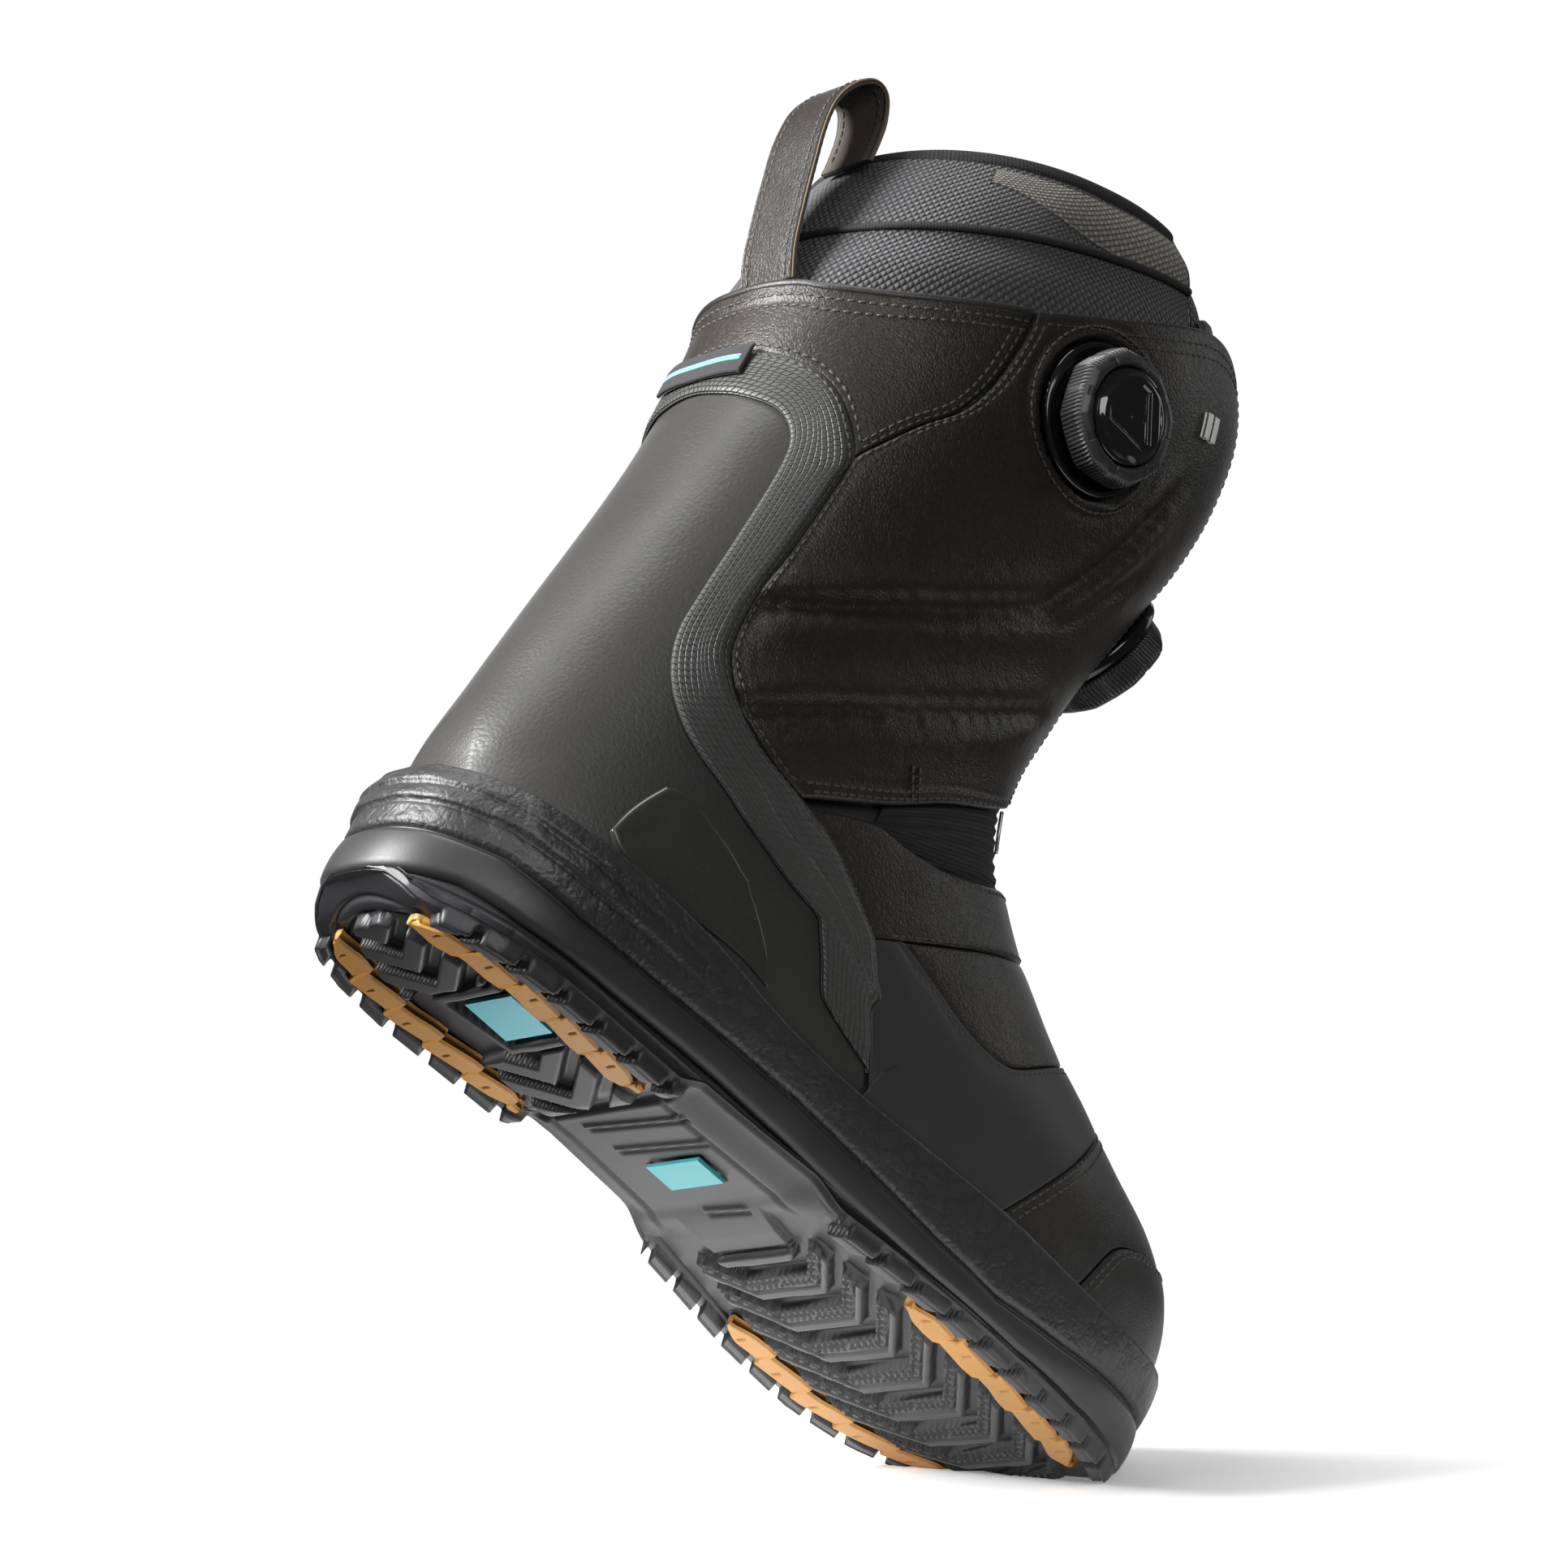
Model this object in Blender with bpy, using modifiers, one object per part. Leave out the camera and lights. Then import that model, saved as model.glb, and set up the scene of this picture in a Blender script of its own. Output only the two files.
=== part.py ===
"""Snowboard boot, right foot, EU 42-43.  +X towards the toe, +Y towards the medial (inner) side, +Z up.
Every panel is laid out on one parametric last, S(u, v): u runs from the liner's rim down the shaft and along the
foot to the toe, v runs once round it (0 front ridge, 0.25 lateral, 0.5 back and sole, 0.75 medial)."""
import bpy
import bmesh
import math
import numpy as np
from mathutils import Vector, Matrix

# ---- driving dimensions, millimetres -------------------------------------------------------------------------
MM = 0.001
ORIGIN_X, ORIGIN_Y = 148.20, -9.565    # centre of the finished boot's box, as seen from above
SHELL_T = 2.0                        # leather shell panels
FLAP_OUT, FLAP_T = 1.5, 2.5          # padded cuff flaps
BAND_OUT, BAND_T = 2.0, 1.2          # moulded overlay band
SEAM_GAP = 0.85                      # clearance that each panel keeps to a seam line
TONGUE_OUT, TONGUE_T = -4.0, 2.0
LINER_OUT, LINER_T = -4.2, 6.5
BOARD_Z0, BOARD_Z1 = 19.3, 21.4      # insole board
SHANK_Z0, SHANK_Z1 = 17.4, 18.9
CUP_FLOOR_Z = 16.7
PLATE_TOP = 8.0                      # outsole plate under the midsole
GRIP_T = 3.1                         # height of the softer grip strips
RAIL_W, CHANNEL_W = 7.0, 11.5        # black rail outside each strip, and the strip's channel
DIAL_R = 19.6                        # grip ring of both lacing dials
DIAL_LIFT = 3.5                      # pull-to-release travel (joint range in the record)
CABLE_R = 0.6
STRAP_W, STRAP_T = 22.0, 1.5

LAST = np.array([
    # front/top x, z   back/bottom x, z   front share  half widths lat, med   exponents front, back   centre y
    (134, 339,  20, 293, .52, 50, 49, 2.2, 2.20, -3.0),
    (149, 333,  15, 267, .52, 55, 54, 2.2, 2.20, -3.0),
    (158, 325,  12, 241, .52, 57, 56, 2.2, 2.25, -3.0),
    (174, 304,  14, 219, .52, 56, 55, 2.2, 2.25, -3.0),
    (178, 280,  15, 198, .52, 54, 53, 2.2, 2.25, -3.0),
    (176, 256,  14, 176, .52, 52, 50, 2.2, 2.25, -3.0),
    (171, 232,  12, 154, .51, 49, 47, 2.2, 2.25, -2.5),
    (166, 208,   9, 132, .50, 47, 45, 2.2, 2.20, -2.0),
    (163, 185,   6, 108, .50, 46, 44, 2.2, 2.20, -1.5),
    (162, 163,   3,  82, .50, 45, 43, 2.2, 2.20, -1.0),
    (169, 145,   1,  52, .48, 45, 42, 2.2, 2.40, 0.0),
    (181, 131,   7,  24, .50, 46, 42, 2.2, 2.80, 0.0),
    (195, 119,  60,  20, .56, 48, 44, 2.2, 3.20, 0.0),
    (209, 108, 120,  20, .62, 50, 47, 2.2, 3.80, 0.0),
    (224,  98, 170,  20, .66, 51, 50, 2.25, 4.2, -.5),
    (240,  89, 212,  21, .68, 50, 51, 2.3, 4.40, 0.0),
    (256,  82, 244,  23, .68, 46.5, 50, 2.4, 4.4, 1.0),
    (271,  75, 268,  25, .66, 39, 44, 2.5, 4.20, 3.0),
    (284,  67, 284,  27, .60, 27, 34, 2.5, 3.60, 5.0),
    (293,  56, 293,  29, .52, 13, 20, 2.4, 3.00, 6.5),
    (297.5, 43, 297.5, 31, .50, 0.6, 1.0, 2.2, 2.4, 7.5),
], float)

# Seam lines on the lateral half, as (u, v); the medial ones mirror them (v -> 1 - v).
COLLAR = [(.108, .50), (.110, .45), (.117, .42), (.122, .38), (.122, .34), (.119, .285)]
FLAP_TOP = [(.119, .284), (.109, .24), (.099, .20), (.092, .16), (.096, .125), (.108, .103)]
FLAP_FRONT = [(.108, .103), (.14, .085), (.18, .073), (.22, .063), (.28, .058), (.36, .057), (.42, .061), (.455, .072), (.476, .095)]
FLAP_HEM = [(.512, .258), (.509, .246), (.503, .212), (.492, .174), (.484, .13), (.476, .095)]
DIAGONAL = [(.119, .285), (.145, .288), (.175, .292), (.195, .297), (.21, .304), (.225, .318), (.245, .332), (.262, .342)]
BAND_TOP = [(.262, .342), (.238, .356), (.21, .378), (.19, .405), (.178, .439), (.171, .475), (.168, .50)]
BAND_REAR = [(.262, .342), (.28, .341), (.318, .339), (.355, .338), (.385, .338), (.41, .335), (.432, .329), (.452, .316),
             (.473, .299), (.49, .282), (.512, .259)]
BAND_FOOT = [(.512, .259), (.532, .246), (.545, .238), (.568, .232), (.60, .234), (.625, .244), (.65, .252), (.672, .262),
             (.688, .279), (.702, .302), (.706, .324)]
BAND_INNER = [(.206, .50), (.210, .47), (.215, .446), (.228, .411), (.25, .39), (.28, .381), (.338, .375), (.39, .371),
              (.422, .367), (.452, .354), (.478, .334), (.50, .311), (.522, .285), (.548, .262), (.58, .252), (.60, .254),
              (.622, .261), (.642, .271)]
GUSSET_HEM = [(.516, .235), (.518, .22), (.526, .205), (.533, .186), (.538, .162), (.538, .13), (.534, .08), (.532, 0)]
ANKLE_HEM = [(.60, .234), (.60, .18), (.60, .149), (.602, .08), (.603, 0)]
RAND = [(.60, .217), (.62, .214), (.642, .211), (.665, .209), (.685, .205), (.70, .196), (.706, .183), (.711, .145),
        (.716, .10), (.72, .06), (.722, 0)]
QUARTER_HEM = [(.779, .306), (.78, .27), (.78, .232), (.78, .199), (.779, .15), (.778, .08), (.778, 0)]
TOE_SEAM = [(.838, .302), (.839, .266), (.840, .228), (.845, .210), (.857, .194), (.875, .178), (.893, .155), (.905, .12),
            (.912, .06), (.914, 0)]

# Sole outline as seen from above: x, lateral y, medial y.
OUTLINE = np.array([(-3.8, -7, 9), (-1.5, -14, 16), (3, -21, 22.5), (10, -27, 28), (17, -32, 33), (28, -37, 37), (45, -40.5, 38.5),
                    (75, -41.5, 36), (105, -42, 34), (135, -44.5, 36), (165, -49, 42.5), (195, -52.5, 49.5), (225, -52, 52),
                    (250, -46, 49.5), (270, -36, 43), (283, -26, 36), (292, -15, 28.5), (298, -5, 20), (300.5, 1, 14)], float)
# Midsole lip: x, lateral y, medial y, z.
LIP = np.array([(-3.8, -7, 9, 44), (-1.5, -15, 17, 44), (3, -23, 24, 44), (10, -29.5, 30, 44), (17, -35.5, 35, 43.5), (28, -41.5, 40.5, 42),
                (45, -45.5, 43.5, 42), (75, -48.5, 45.5, 40), (105, -49.5, 46.5, 35.5), (135, -50.5, 47, 34), (165, -52.5, 49, 34.5),
                (195, -54, 52, 35), (225, -53, 53.5, 34.5), (250, -49, 52.5, 36), (270, -40.5, 46, 39.5), (283, -29.5, 39, 42.5),
                (292, -17, 31, 44), (298, -6, 22.5, 45), (300.5, 0, 15, 45)], float)

# ---- start from an empty file ---------------------------------------------------------------------------------
for old in list(bpy.data.objects):
    bpy.data.objects.remove(old, do_unlink=True)
scene = bpy.context.scene
parts = bpy.data.collections.new("snowboard_boot")
cutters = bpy.data.collections.new("cutters")
scene.collection.children.link(parts)
scene.collection.children.link(cutters)


# ---- the last ---------------------------------------------------------------------------------------------------
def knots():
    d = np.linalg.norm(np.diff(LAST[:, :2], axis=0), axis=1) + .55 * np.linalg.norm(np.diff(LAST[:, 2:4], axis=0), axis=1)
    u = np.concatenate([[0], np.cumsum(d)])
    return u / u[-1]


U = knots()


def hermite(u, table=LAST, at=U):
    u = np.clip(np.asarray(u, float), 0, 1)
    i = np.clip(np.searchsorted(at, u, side="right") - 1, 0, len(at) - 2)
    step = np.diff(at)
    slope = np.diff(table, axis=0) / step[:, None]
    tangent = np.empty_like(table)
    tangent[1:-1] = (slope[:-1] * step[1:, None] + slope[1:] * step[:-1, None]) / (step[1:] + step[:-1])[:, None]
    tangent[0], tangent[-1] = slope[0], slope[-1]
    h = step[i][..., None]
    t = ((u - at[i]) / step[i])[..., None]
    return ((2*t**3 - 3*t**2 + 1) * table[i] + (t**3 - 2*t**2 + t) * h * tangent[i]
            + (-2*t**3 + 3*t**2) * table[i + 1] + (t**3 - t**2) * h * tangent[i + 1])


def last(u, v):
    """Point of the last in millimetres."""
    u, v = np.broadcast_arrays(np.asarray(u, float), np.asarray(v, float))
    p = hermite(u)
    c, s = np.cos(2*np.pi*v), np.sin(2*np.pi*v)
    front, back, share = p[..., 0:2], p[..., 2:4], p[..., 4]
    power = np.where(c > 0, p[..., 7], p[..., 8])
    half = np.where(s > 0, p[..., 5], p[..., 6])
    length = np.linalg.norm(front - back, axis=-1)
    along = np.where(c > 0, share, 1 - share) * length * np.abs(c)**(2/power) * np.sign(c)
    xz = front + (back - front)*share[..., None] + (front - back)/np.maximum(length, 1e-6)[..., None]*along[..., None]
    y = p[..., 9] - half * np.abs(s)**(2/power) * np.sign(s)
    return np.stack([xz[..., 0], y, xz[..., 1]], -1)


def outward(u, v, e=1e-3):
    u, v = np.broadcast_arrays(np.asarray(u, float), np.asarray(v, float))
    du = last(np.clip(u + e, 0, 1), v) - last(np.clip(u - e, 0, 1), v)
    dv = last(u, v + e) - last(u, v - e)
    n = np.cross(dv, du)
    return n / np.maximum(np.linalg.norm(n, axis=-1, keepdims=True), 1e-9)


def off_last(uv, distance):
    uv = np.asarray(uv, float)
    return last(uv[..., 0], uv[..., 1]) + distance * outward(uv[..., 0], uv[..., 1])


def world(points):
    return (np.asarray(points, float) - np.array([ORIGIN_X, ORIGIN_Y, 0])) * MM


# ---- making objects -----------------------------------------------------------------------------------------------
def finish(obj, colour, roughness, metallic=0.0):
    mat = bpy.data.materials.new(obj.name)
    mat.use_nodes = True
    shader = mat.node_tree.nodes["Principled BSDF"]
    shader.inputs["Base Color"].default_value = (*colour, 1)
    shader.inputs["Roughness"].default_value = roughness
    shader.inputs["Metallic"].default_value = metallic
    mat.diffuse_color = (*colour, 1)
    obj.data.materials.clear()
    obj.data.materials.append(mat)
    return obj


def add(name, bm_or_mesh, parent=None, collection=parts):
    if isinstance(bm_or_mesh, bmesh.types.BMesh):
        mesh = bpy.data.meshes.new(name)
        bm_or_mesh.to_mesh(mesh)
        bm_or_mesh.free()
    else:
        mesh = bm_or_mesh
    obj = bpy.data.objects.new(name, mesh)
    collection.objects.link(obj)
    mesh.shade_smooth()
    mesh.set_sharp_from_angle(angle=math.radians(35))
    if parent is not None:
        obj.parent = parent
        obj.matrix_parent_inverse = parent.matrix_world.inverted()
    return obj


def joint_empty(name, point_mm, axis):
    """An empty on a joint's axis, its local Z along the axis."""
    empty = bpy.data.objects.new(name, None)
    parts.objects.link(empty)
    empty.empty_display_size = .02
    turn = Vector(axis).normalized().to_track_quat("Z", "Y").to_matrix().to_4x4()
    empty.matrix_world = Matrix.Translation(Vector(world(point_mm))) @ turn
    bpy.context.view_layer.update()
    return empty


def grid_mesh(grid, close=False):
    """Open sheet of quads over an array of points (rows, columns, 3) in metres."""
    bm = bmesh.new()
    rows, cols = grid.shape[:2]
    vs = [[bm.verts.new(grid[i, j]) for j in range(cols)] for i in range(rows)]
    for i in range(rows - 1):
        for j in range(cols if close else cols - 1):
            k = (j + 1) % cols
            bm.faces.new((vs[i][j], vs[i][k], vs[i + 1][k], vs[i + 1][j]))
    return bm


def resample(points, count):
    """Catmull-Rom curve through (u, v) points, as a function of its share of the length."""
    p = np.asarray(points, float)
    ends = np.vstack([2*p[0] - p[1], p, 2*p[-1] - p[-2]])
    fine = [p[0]]
    for i in range(1, len(ends) - 2):
        for t in np.linspace(0, 1, 9)[1:]:
            a, b, c, d = ends[i - 1:i + 3]
            fine.append(.5*((2*b) + (c - a)*t + (2*a - 5*b + 4*c - d)*t*t + (3*b - a - 3*c + d)*t**3))
    fine = np.array(fine)
    length = np.concatenate([[0], np.cumsum(np.linalg.norm(np.diff(fine*[470, 330], axis=0), axis=1))])
    at = np.linspace(0, length[-1], count)
    return np.stack([np.interp(at, length, fine[:, k]) for k in (0, 1)], -1)


def coons(top, bottom, left, right, fine=41, power=1):
    t_, b_, l_, r_ = (resample(c, fine) for c in (top, bottom, left, right))
    s = np.linspace(0, 1, fine)[None, :, None]
    t = np.linspace(0, 1, fine)[:, None, None]
    bow_top = t_[None] - (1-s)*t_[0] - s*t_[-1]
    bow_bottom = b_[None] - (1-s)*b_[0] - s*b_[-1]
    return (1-s)*l_[:, None] + s*r_[:, None] + (1-t)**power*bow_top + t**power*bow_bottom


def inset(uv, rows, cols, gap, gap_ends=None):
    """Samples a fine (u, v) sheet at rows x cols, leaving out a margin of gap millimetres at every side."""
    gap_ends = gap if gap_ends is None else gap_ends
    p = last(uv[..., 0], uv[..., 1])
    across = np.linalg.norm(np.diff(p, axis=1), axis=2).sum(1)
    down = np.linalg.norm(np.diff(p, axis=0), axis=2).sum(0)
    n = uv.shape[0] - 1
    out = np.empty((rows, cols, 2))
    for i in range(rows):
        for j in range(cols):
            s, t = j/(cols - 1), i/(rows - 1)
            e = gap_ends / np.interp(t*n, np.arange(n + 1), across)
            f = gap / np.interp(s*n, np.arange(n + 1), down)
            s, t = e + (1 - 2*e)*s, f + (1 - 2*f)*t
            a, b = min(t*n, n - 1e-9), min(s*n, n - 1e-9)
            ia, ib = int(a), int(b)
            a, b = a - ia, b - ib
            out[i, j] = ((1-a)*(1-b)*uv[ia, ib] + (1-a)*b*uv[ia, ib+1] + a*(1-b)*uv[ia+1, ib] + a*b*uv[ia+1, ib+1])
    return out


def sheet(name, uv, outer, thick, colour, roughness, parent=None, metallic=0.0):
    """A panel on the last: an open sheet at distance outer, made thick inwards with Solidify."""
    bm = grid_mesh(world(off_last(uv, outer)))
    bm.normal_update()
    mid = uv[uv.shape[0]//2, uv.shape[1]//2]
    bm.faces.ensure_lookup_table()
    face = bm.faces[(uv.shape[0]//2)*(uv.shape[1] - 1) + uv.shape[1]//2 - 1]
    if face.normal.dot(Vector(outward(mid[0], mid[1]))) < 0:
        bmesh.ops.reverse_faces(bm, faces=bm.faces)
    obj = add(name, bm, parent)
    solid = obj.modifiers.new("thickness", "SOLIDIFY")
    solid.thickness, solid.offset, solid.use_rim = thick*MM, -1, True
    solid.use_even_offset = False
    return finish(obj, colour, roughness, metallic)


def mirror_line(points):
    return [(u, 1 - v) for u, v in points]


def over_front(points):
    """A lateral line that ends on the front ridge, carried on over it to the medial side (v < 0)."""
    return list(points) + [(u, -v) for u, v in points[-2::-1]]


def over_back(points):
    """A lateral line that ends on the back ridge, carried on to the medial side (v > 0.5)."""
    return list(points) + [(u, 1 - v) for u, v in points[-2::-1]]


def rings_solid(name, rings, colour, roughness, parent=None, metallic=0.0, closed_ends=True):
    """Closed solid skinned over rings of equal count, each an array of points in millimetres."""
    bm = bmesh.new()
    vs = [[bm.verts.new(p) for p in world(ring)] for ring in rings]
    count = len(rings[0])
    for a, b in zip(vs, vs[1:]):
        for j in range(count):
            k = (j + 1) % count
            bm.faces.new((a[j], a[k], b[k], b[j]))
    if closed_ends:
        bm.faces.new(vs[0][::-1])
        bm.faces.new(vs[-1])
    bmesh.ops.triangulate(bm, faces=bm.faces)
    bmesh.ops.recalc_face_normals(bm, faces=bm.faces)
    if bm.calc_volume(signed=True) < 0:
        bmesh.ops.reverse_faces(bm, faces=bm.faces)
    return finish(add(name, bm, parent), colour, roughness, metallic)


def turned(name, profile, frame, colour, roughness, parent=None, metallic=0.0, steps=28):
    """Closed profile of (radius, height) in millimetres, turned round frame's Z with a Screw modifier."""
    bm = bmesh.new()
    vs = [bm.verts.new((r*MM, 0, h*MM)) for r, h in profile]
    for a, b in zip(vs, vs[1:] + vs[:1]):
        bm.edges.new((a, b))
    obj = add(name, bm)
    obj.matrix_world = frame
    if parent is not None:
        bpy.context.view_layer.update()
        obj.parent = parent
        obj.matrix_parent_inverse = parent.matrix_world.inverted()
    screw = obj.modifiers.new("turn", "SCREW")
    screw.axis, screw.angle = "Z", 2*math.pi
    screw.steps = screw.render_steps = steps
    screw.use_merge_vertices, screw.merge_threshold = True, .00001
    screw.use_smooth_shade = True
    return finish(obj, colour, roughness, metallic)


def prism(name, outline, h0, h1, frame, colour, roughness, parent=None, chamfer=0.0):
    """Outline in the frame's XY plane, extruded from h0 to h1 (a 2D curve with fill and extrude)."""
    curve = bpy.data.curves.new(name, "CURVE")
    curve.dimensions, curve.fill_mode = "2D", "BOTH"
    curve.extrude = (h1 - h0)/2*MM
    spline = curve.splines.new("POLY")
    spline.points.add(len(outline) - 1)
    for point, (x, y) in zip(spline.points, outline):
        point.co = (x*MM, y*MM, 0, 1)
    spline.use_cyclic_u = True
    obj = bpy.data.objects.new(name, curve)
    parts.objects.link(obj)
    obj.matrix_world = frame @ Matrix.Translation((0, 0, (h0 + h1)/2*MM))
    bpy.context.view_layer.update()
    mesh = bpy.data.meshes.new_from_object(obj.evaluated_get(bpy.context.evaluated_depsgraph_get()))
    place = obj.matrix_world.copy()
    bpy.data.objects.remove(obj, do_unlink=True)
    bm = bmesh.new()
    bm.from_mesh(mesh)
    bmesh.ops.remove_doubles(bm, verts=bm.verts, dist=1e-6)
    bmesh.ops.recalc_face_normals(bm, faces=bm.faces)
    solid = add(name, bm)
    solid.matrix_world = place
    if parent is not None:
        bpy.context.view_layer.update()
        solid.parent = parent
        solid.matrix_parent_inverse = parent.matrix_world.inverted()
    if chamfer:
        bevel = solid.modifiers.new("edge", "BEVEL")
        bevel.width, bevel.segments, bevel.limit_method = chamfer*MM, 1, "ANGLE"
    return finish(solid, colour, roughness)


def wire(name, points_mm, radius, colour, roughness, parent=None, metallic=0.0, resolution=2):
    """Round tube along points: a curve with a bevel and filled caps."""
    curve = bpy.data.curves.new(name, "CURVE")
    curve.dimensions, curve.bevel_depth, curve.bevel_resolution, curve.use_fill_caps = "3D", radius*MM, resolution, True
    spline = curve.splines.new("POLY")
    spline.points.add(len(points_mm) - 1)
    for point, co in zip(spline.points, world(points_mm)):
        point.co = (*co, 1)
    obj = bpy.data.objects.new(name, curve)
    parts.objects.link(obj)
    if parent is not None:
        obj.parent = parent
        obj.matrix_parent_inverse = parent.matrix_world.inverted()
    return finish(obj, colour, roughness, metallic)


def surface_frame(u, v, lift=0.0, twist=0.0):
    """A frame on the last at (u, v): Z outward, X towards the toe along the surface."""
    n = Vector(outward(u, v))
    origin = Vector(world(off_last((u, v), lift)))
    x = Vector((1, 0, 0)) - n * n.x if abs(n.x) < .9 else Vector((0, 0, -1)) + n*n.z
    x.normalize()
    y = n.cross(x)
    m = Matrix((x, y, n)).transposed().to_4x4()
    return Matrix.Translation(origin) @ m @ Matrix.Rotation(twist, 4, "Z")


BLACK, LEATHER, COUNTER = (.020, .019, .021), (.030, .026, .023), (.045, .044, .043)
RUBBER, EVA, GUM, TEAL = (.022, .022, .026), (.026, .026, .027), (.50, .26, .035), (.12, .60, .62)
KNIT, SILVER = (.045, .045, .05), (.55, .56, .58)

# ---- joints' axes ---------------------------------------------------------------------------------------------------
LAT_AXIS_P, LAT_AXIS = (42.0, -47.0, 150.0), (0.04, -0.09, 1.0)
MED_AXIS_P, MED_AXIS = (42.0, 43.0, 150.0), (0.04, 0.09, 1.0)
TONGUE_P, TONGUE_AXIS = (160.0, 0.0, 146.0), (0.0, 1.0, 0.0)
LOOP_P, LOOP_AXIS = (14.0, -11.0, 231.0), (0.0, -1.0, 0.0)
lateral_hinge = joint_empty("lateral_flap_axis", LAT_AXIS_P, LAT_AXIS)
medial_hinge = joint_empty("medial_flap_axis", MED_AXIS_P, MED_AXIS)
tongue_hinge = joint_empty("tongue_axis", TONGUE_P, TONGUE_AXIS)
loop_hinge = joint_empty("pull_loop_axis", LOOP_P, LOOP_AXIS)

# ---- shell panels -----------------------------------------------------------------------------------------------------
heel_low = [(.706, .324), (.66, .325), (.60, .322), (.562, .348), (.542, .40), (.532, .46), (.529, .50)]
counter_side = BAND_TOP[2::-1] + BAND_REAR[1:] + BAND_FOOT[1:]
uv = coons(over_back(BAND_TOP[2:]), over_back(heel_low), counter_side, mirror_line(counter_side), power=3)
sheet("heel_counter", inset(uv, 21, 13, SEAM_GAP), -.7, SHELL_T - .4, COUNTER, .5)

band_outer = (BAND_FOOT[-3::-1] + BAND_REAR[-2::-1] + BAND_TOP[1:])
uv = coons(over_back(band_outer), over_back(BAND_INNER[::-1]), [band_outer[0], BAND_INNER[-1]],
           [(band_outer[0][0], 1 - band_outer[0][1]), (BAND_INNER[-1][0], 1 - BAND_INNER[-1][1])], 161)
sheet("counter_band", inset(uv, 3, 53, .5, .5), BAND_OUT, BAND_T, (.065, .065, .062), .45)

uv = coons(over_back(COLLAR[::-1]), over_back(BAND_TOP), DIAGONAL, mirror_line(DIAGONAL))
sheet("collar_panel", inset(uv, 6, 17, SEAM_GAP), 0, SHELL_T, LEATHER, .45)

ankle_top = [(.516, .256), (.516, .236)] + GUSSET_HEM[1:]
uv = coons(over_front(ankle_top), over_front(ANKLE_HEM), [(.516, .256), (.532, .246), (.545, .238), (.568, .232), (.60, .234)],
           [(.516, -.256), (.532, -.246), (.545, -.238), (.568, -.232), (.60, -.234)])
sheet("ankle_panel", inset(uv, 5, 17, SEAM_GAP), 0, SHELL_T, LEATHER, .45)

uv = coons(over_front([(.60, .217), (.60, .18), (.60, .149), (.602, .08), (.603, 0)]), over_front(RAND[5:]), RAND[:6],
           [(u, -v) for u, v in RAND[:6]])
sheet("instep_panel", inset(uv, 6, 15, SEAM_GAP), 0, SHELL_T, LEATHER, .45)

quarter_low = BAND_FOOT[4:] + [(.74, .322)] + QUARTER_HEM
uv = coons(over_front(RAND), over_front(quarter_low), [(.60, .217), (.60, .234)], [(.60, -.217), (.60, -.234)], 121)
sheet("quarter_wrap", inset(uv, 5, 31, 1.2), 0, SHELL_T, LEATHER, .55)

uv = coons(over_front(QUARTER_HEM), over_front(TOE_SEAM), [(.779, .306), (.838, .302)], [(.779, -.306), (.838, -.302)])
sheet("vamp", inset(uv, 5, 19, SEAM_GAP), 0, SHELL_T, LEATHER, .5)

toe_side = [(.838, .302), (.87, .30), (.895, .296), (.93, .29), (.955, .29), (.982, .28)]
uv = coons(over_front(TOE_SEAM), [(.982, .28), (.982, .14), (.982, 0), (.982, -.14), (.982, -.28)], toe_side,
           [(u, -v) for u, v in toe_side])
sheet("toe_cap", inset(uv, 9, 19, SEAM_GAP), 0, SHELL_T, LEATHER, .5)

gusset_top = [(.505, .214), (.492, .174), (.484, .13), (.478, .09), (.474, .04), (.473, 0)]
uv = coons(over_front(gusset_top), over_front(GUSSET_HEM[1:]), [(.505, .214), (.518, .22)], [(.505, -.214), (.518, -.22)])
sheet("stretch_gusset", inset(uv, 5, 15, 1.0), -.2, 1.4, BLACK, .8)

# ankle patches: moulded plates over the counter, both sides
for side, name in ((1, "ankle_patch_lateral"), (-1, "ankle_patch_medial")):
    fix = (lambda pts: [(u, v) for u, v in pts]) if side > 0 else mirror_line
    uv = coons(fix([(.522, .322), (.530, .300), (.545, .284), (.562, .277)]), fix([(.545, .336), (.57, .322), (.597, .309), (.615, .300)]),
               fix([(.522, .322), (.545, .336)]), fix([(.562, .277), (.592, .280), (.615, .300)]))
    sheet(name, inset(uv, 4, 7, .6), 1.9, 1.0, COUNTER, .3)

# woven tab over the band's top, at the back
uv = coons([(.171, .545), (.171, .50), (.171, .455)], [(.198, .545), (.198, .50), (.198, .455)], [(.171, .545), (.198, .545)],
           [(.171, .455), (.198, .455)])
sheet("woven_label", inset(uv, 3, 7, .2), 3.5, .7, BLACK, .8)

# ---- cuff flaps, each on its own hinge line -----------------------------------------------------------------------------
flap_rear = DIAGONAL[:-1] + BAND_REAR
uv_lat = coons(FLAP_TOP, FLAP_HEM, flap_rear, FLAP_FRONT)
flap_lat = sheet("cuff_flap_lateral", inset(uv_lat, 21, 8, SEAM_GAP), FLAP_OUT, FLAP_T, LEATHER, .42, lateral_hinge)
uv_med = uv_lat * [1, -1] + [0, 1]
sheet("cuff_flap_medial", inset(uv_med, 21, 8, SEAM_GAP), FLAP_OUT, FLAP_T, LEATHER, .42, medial_hinge)

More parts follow.
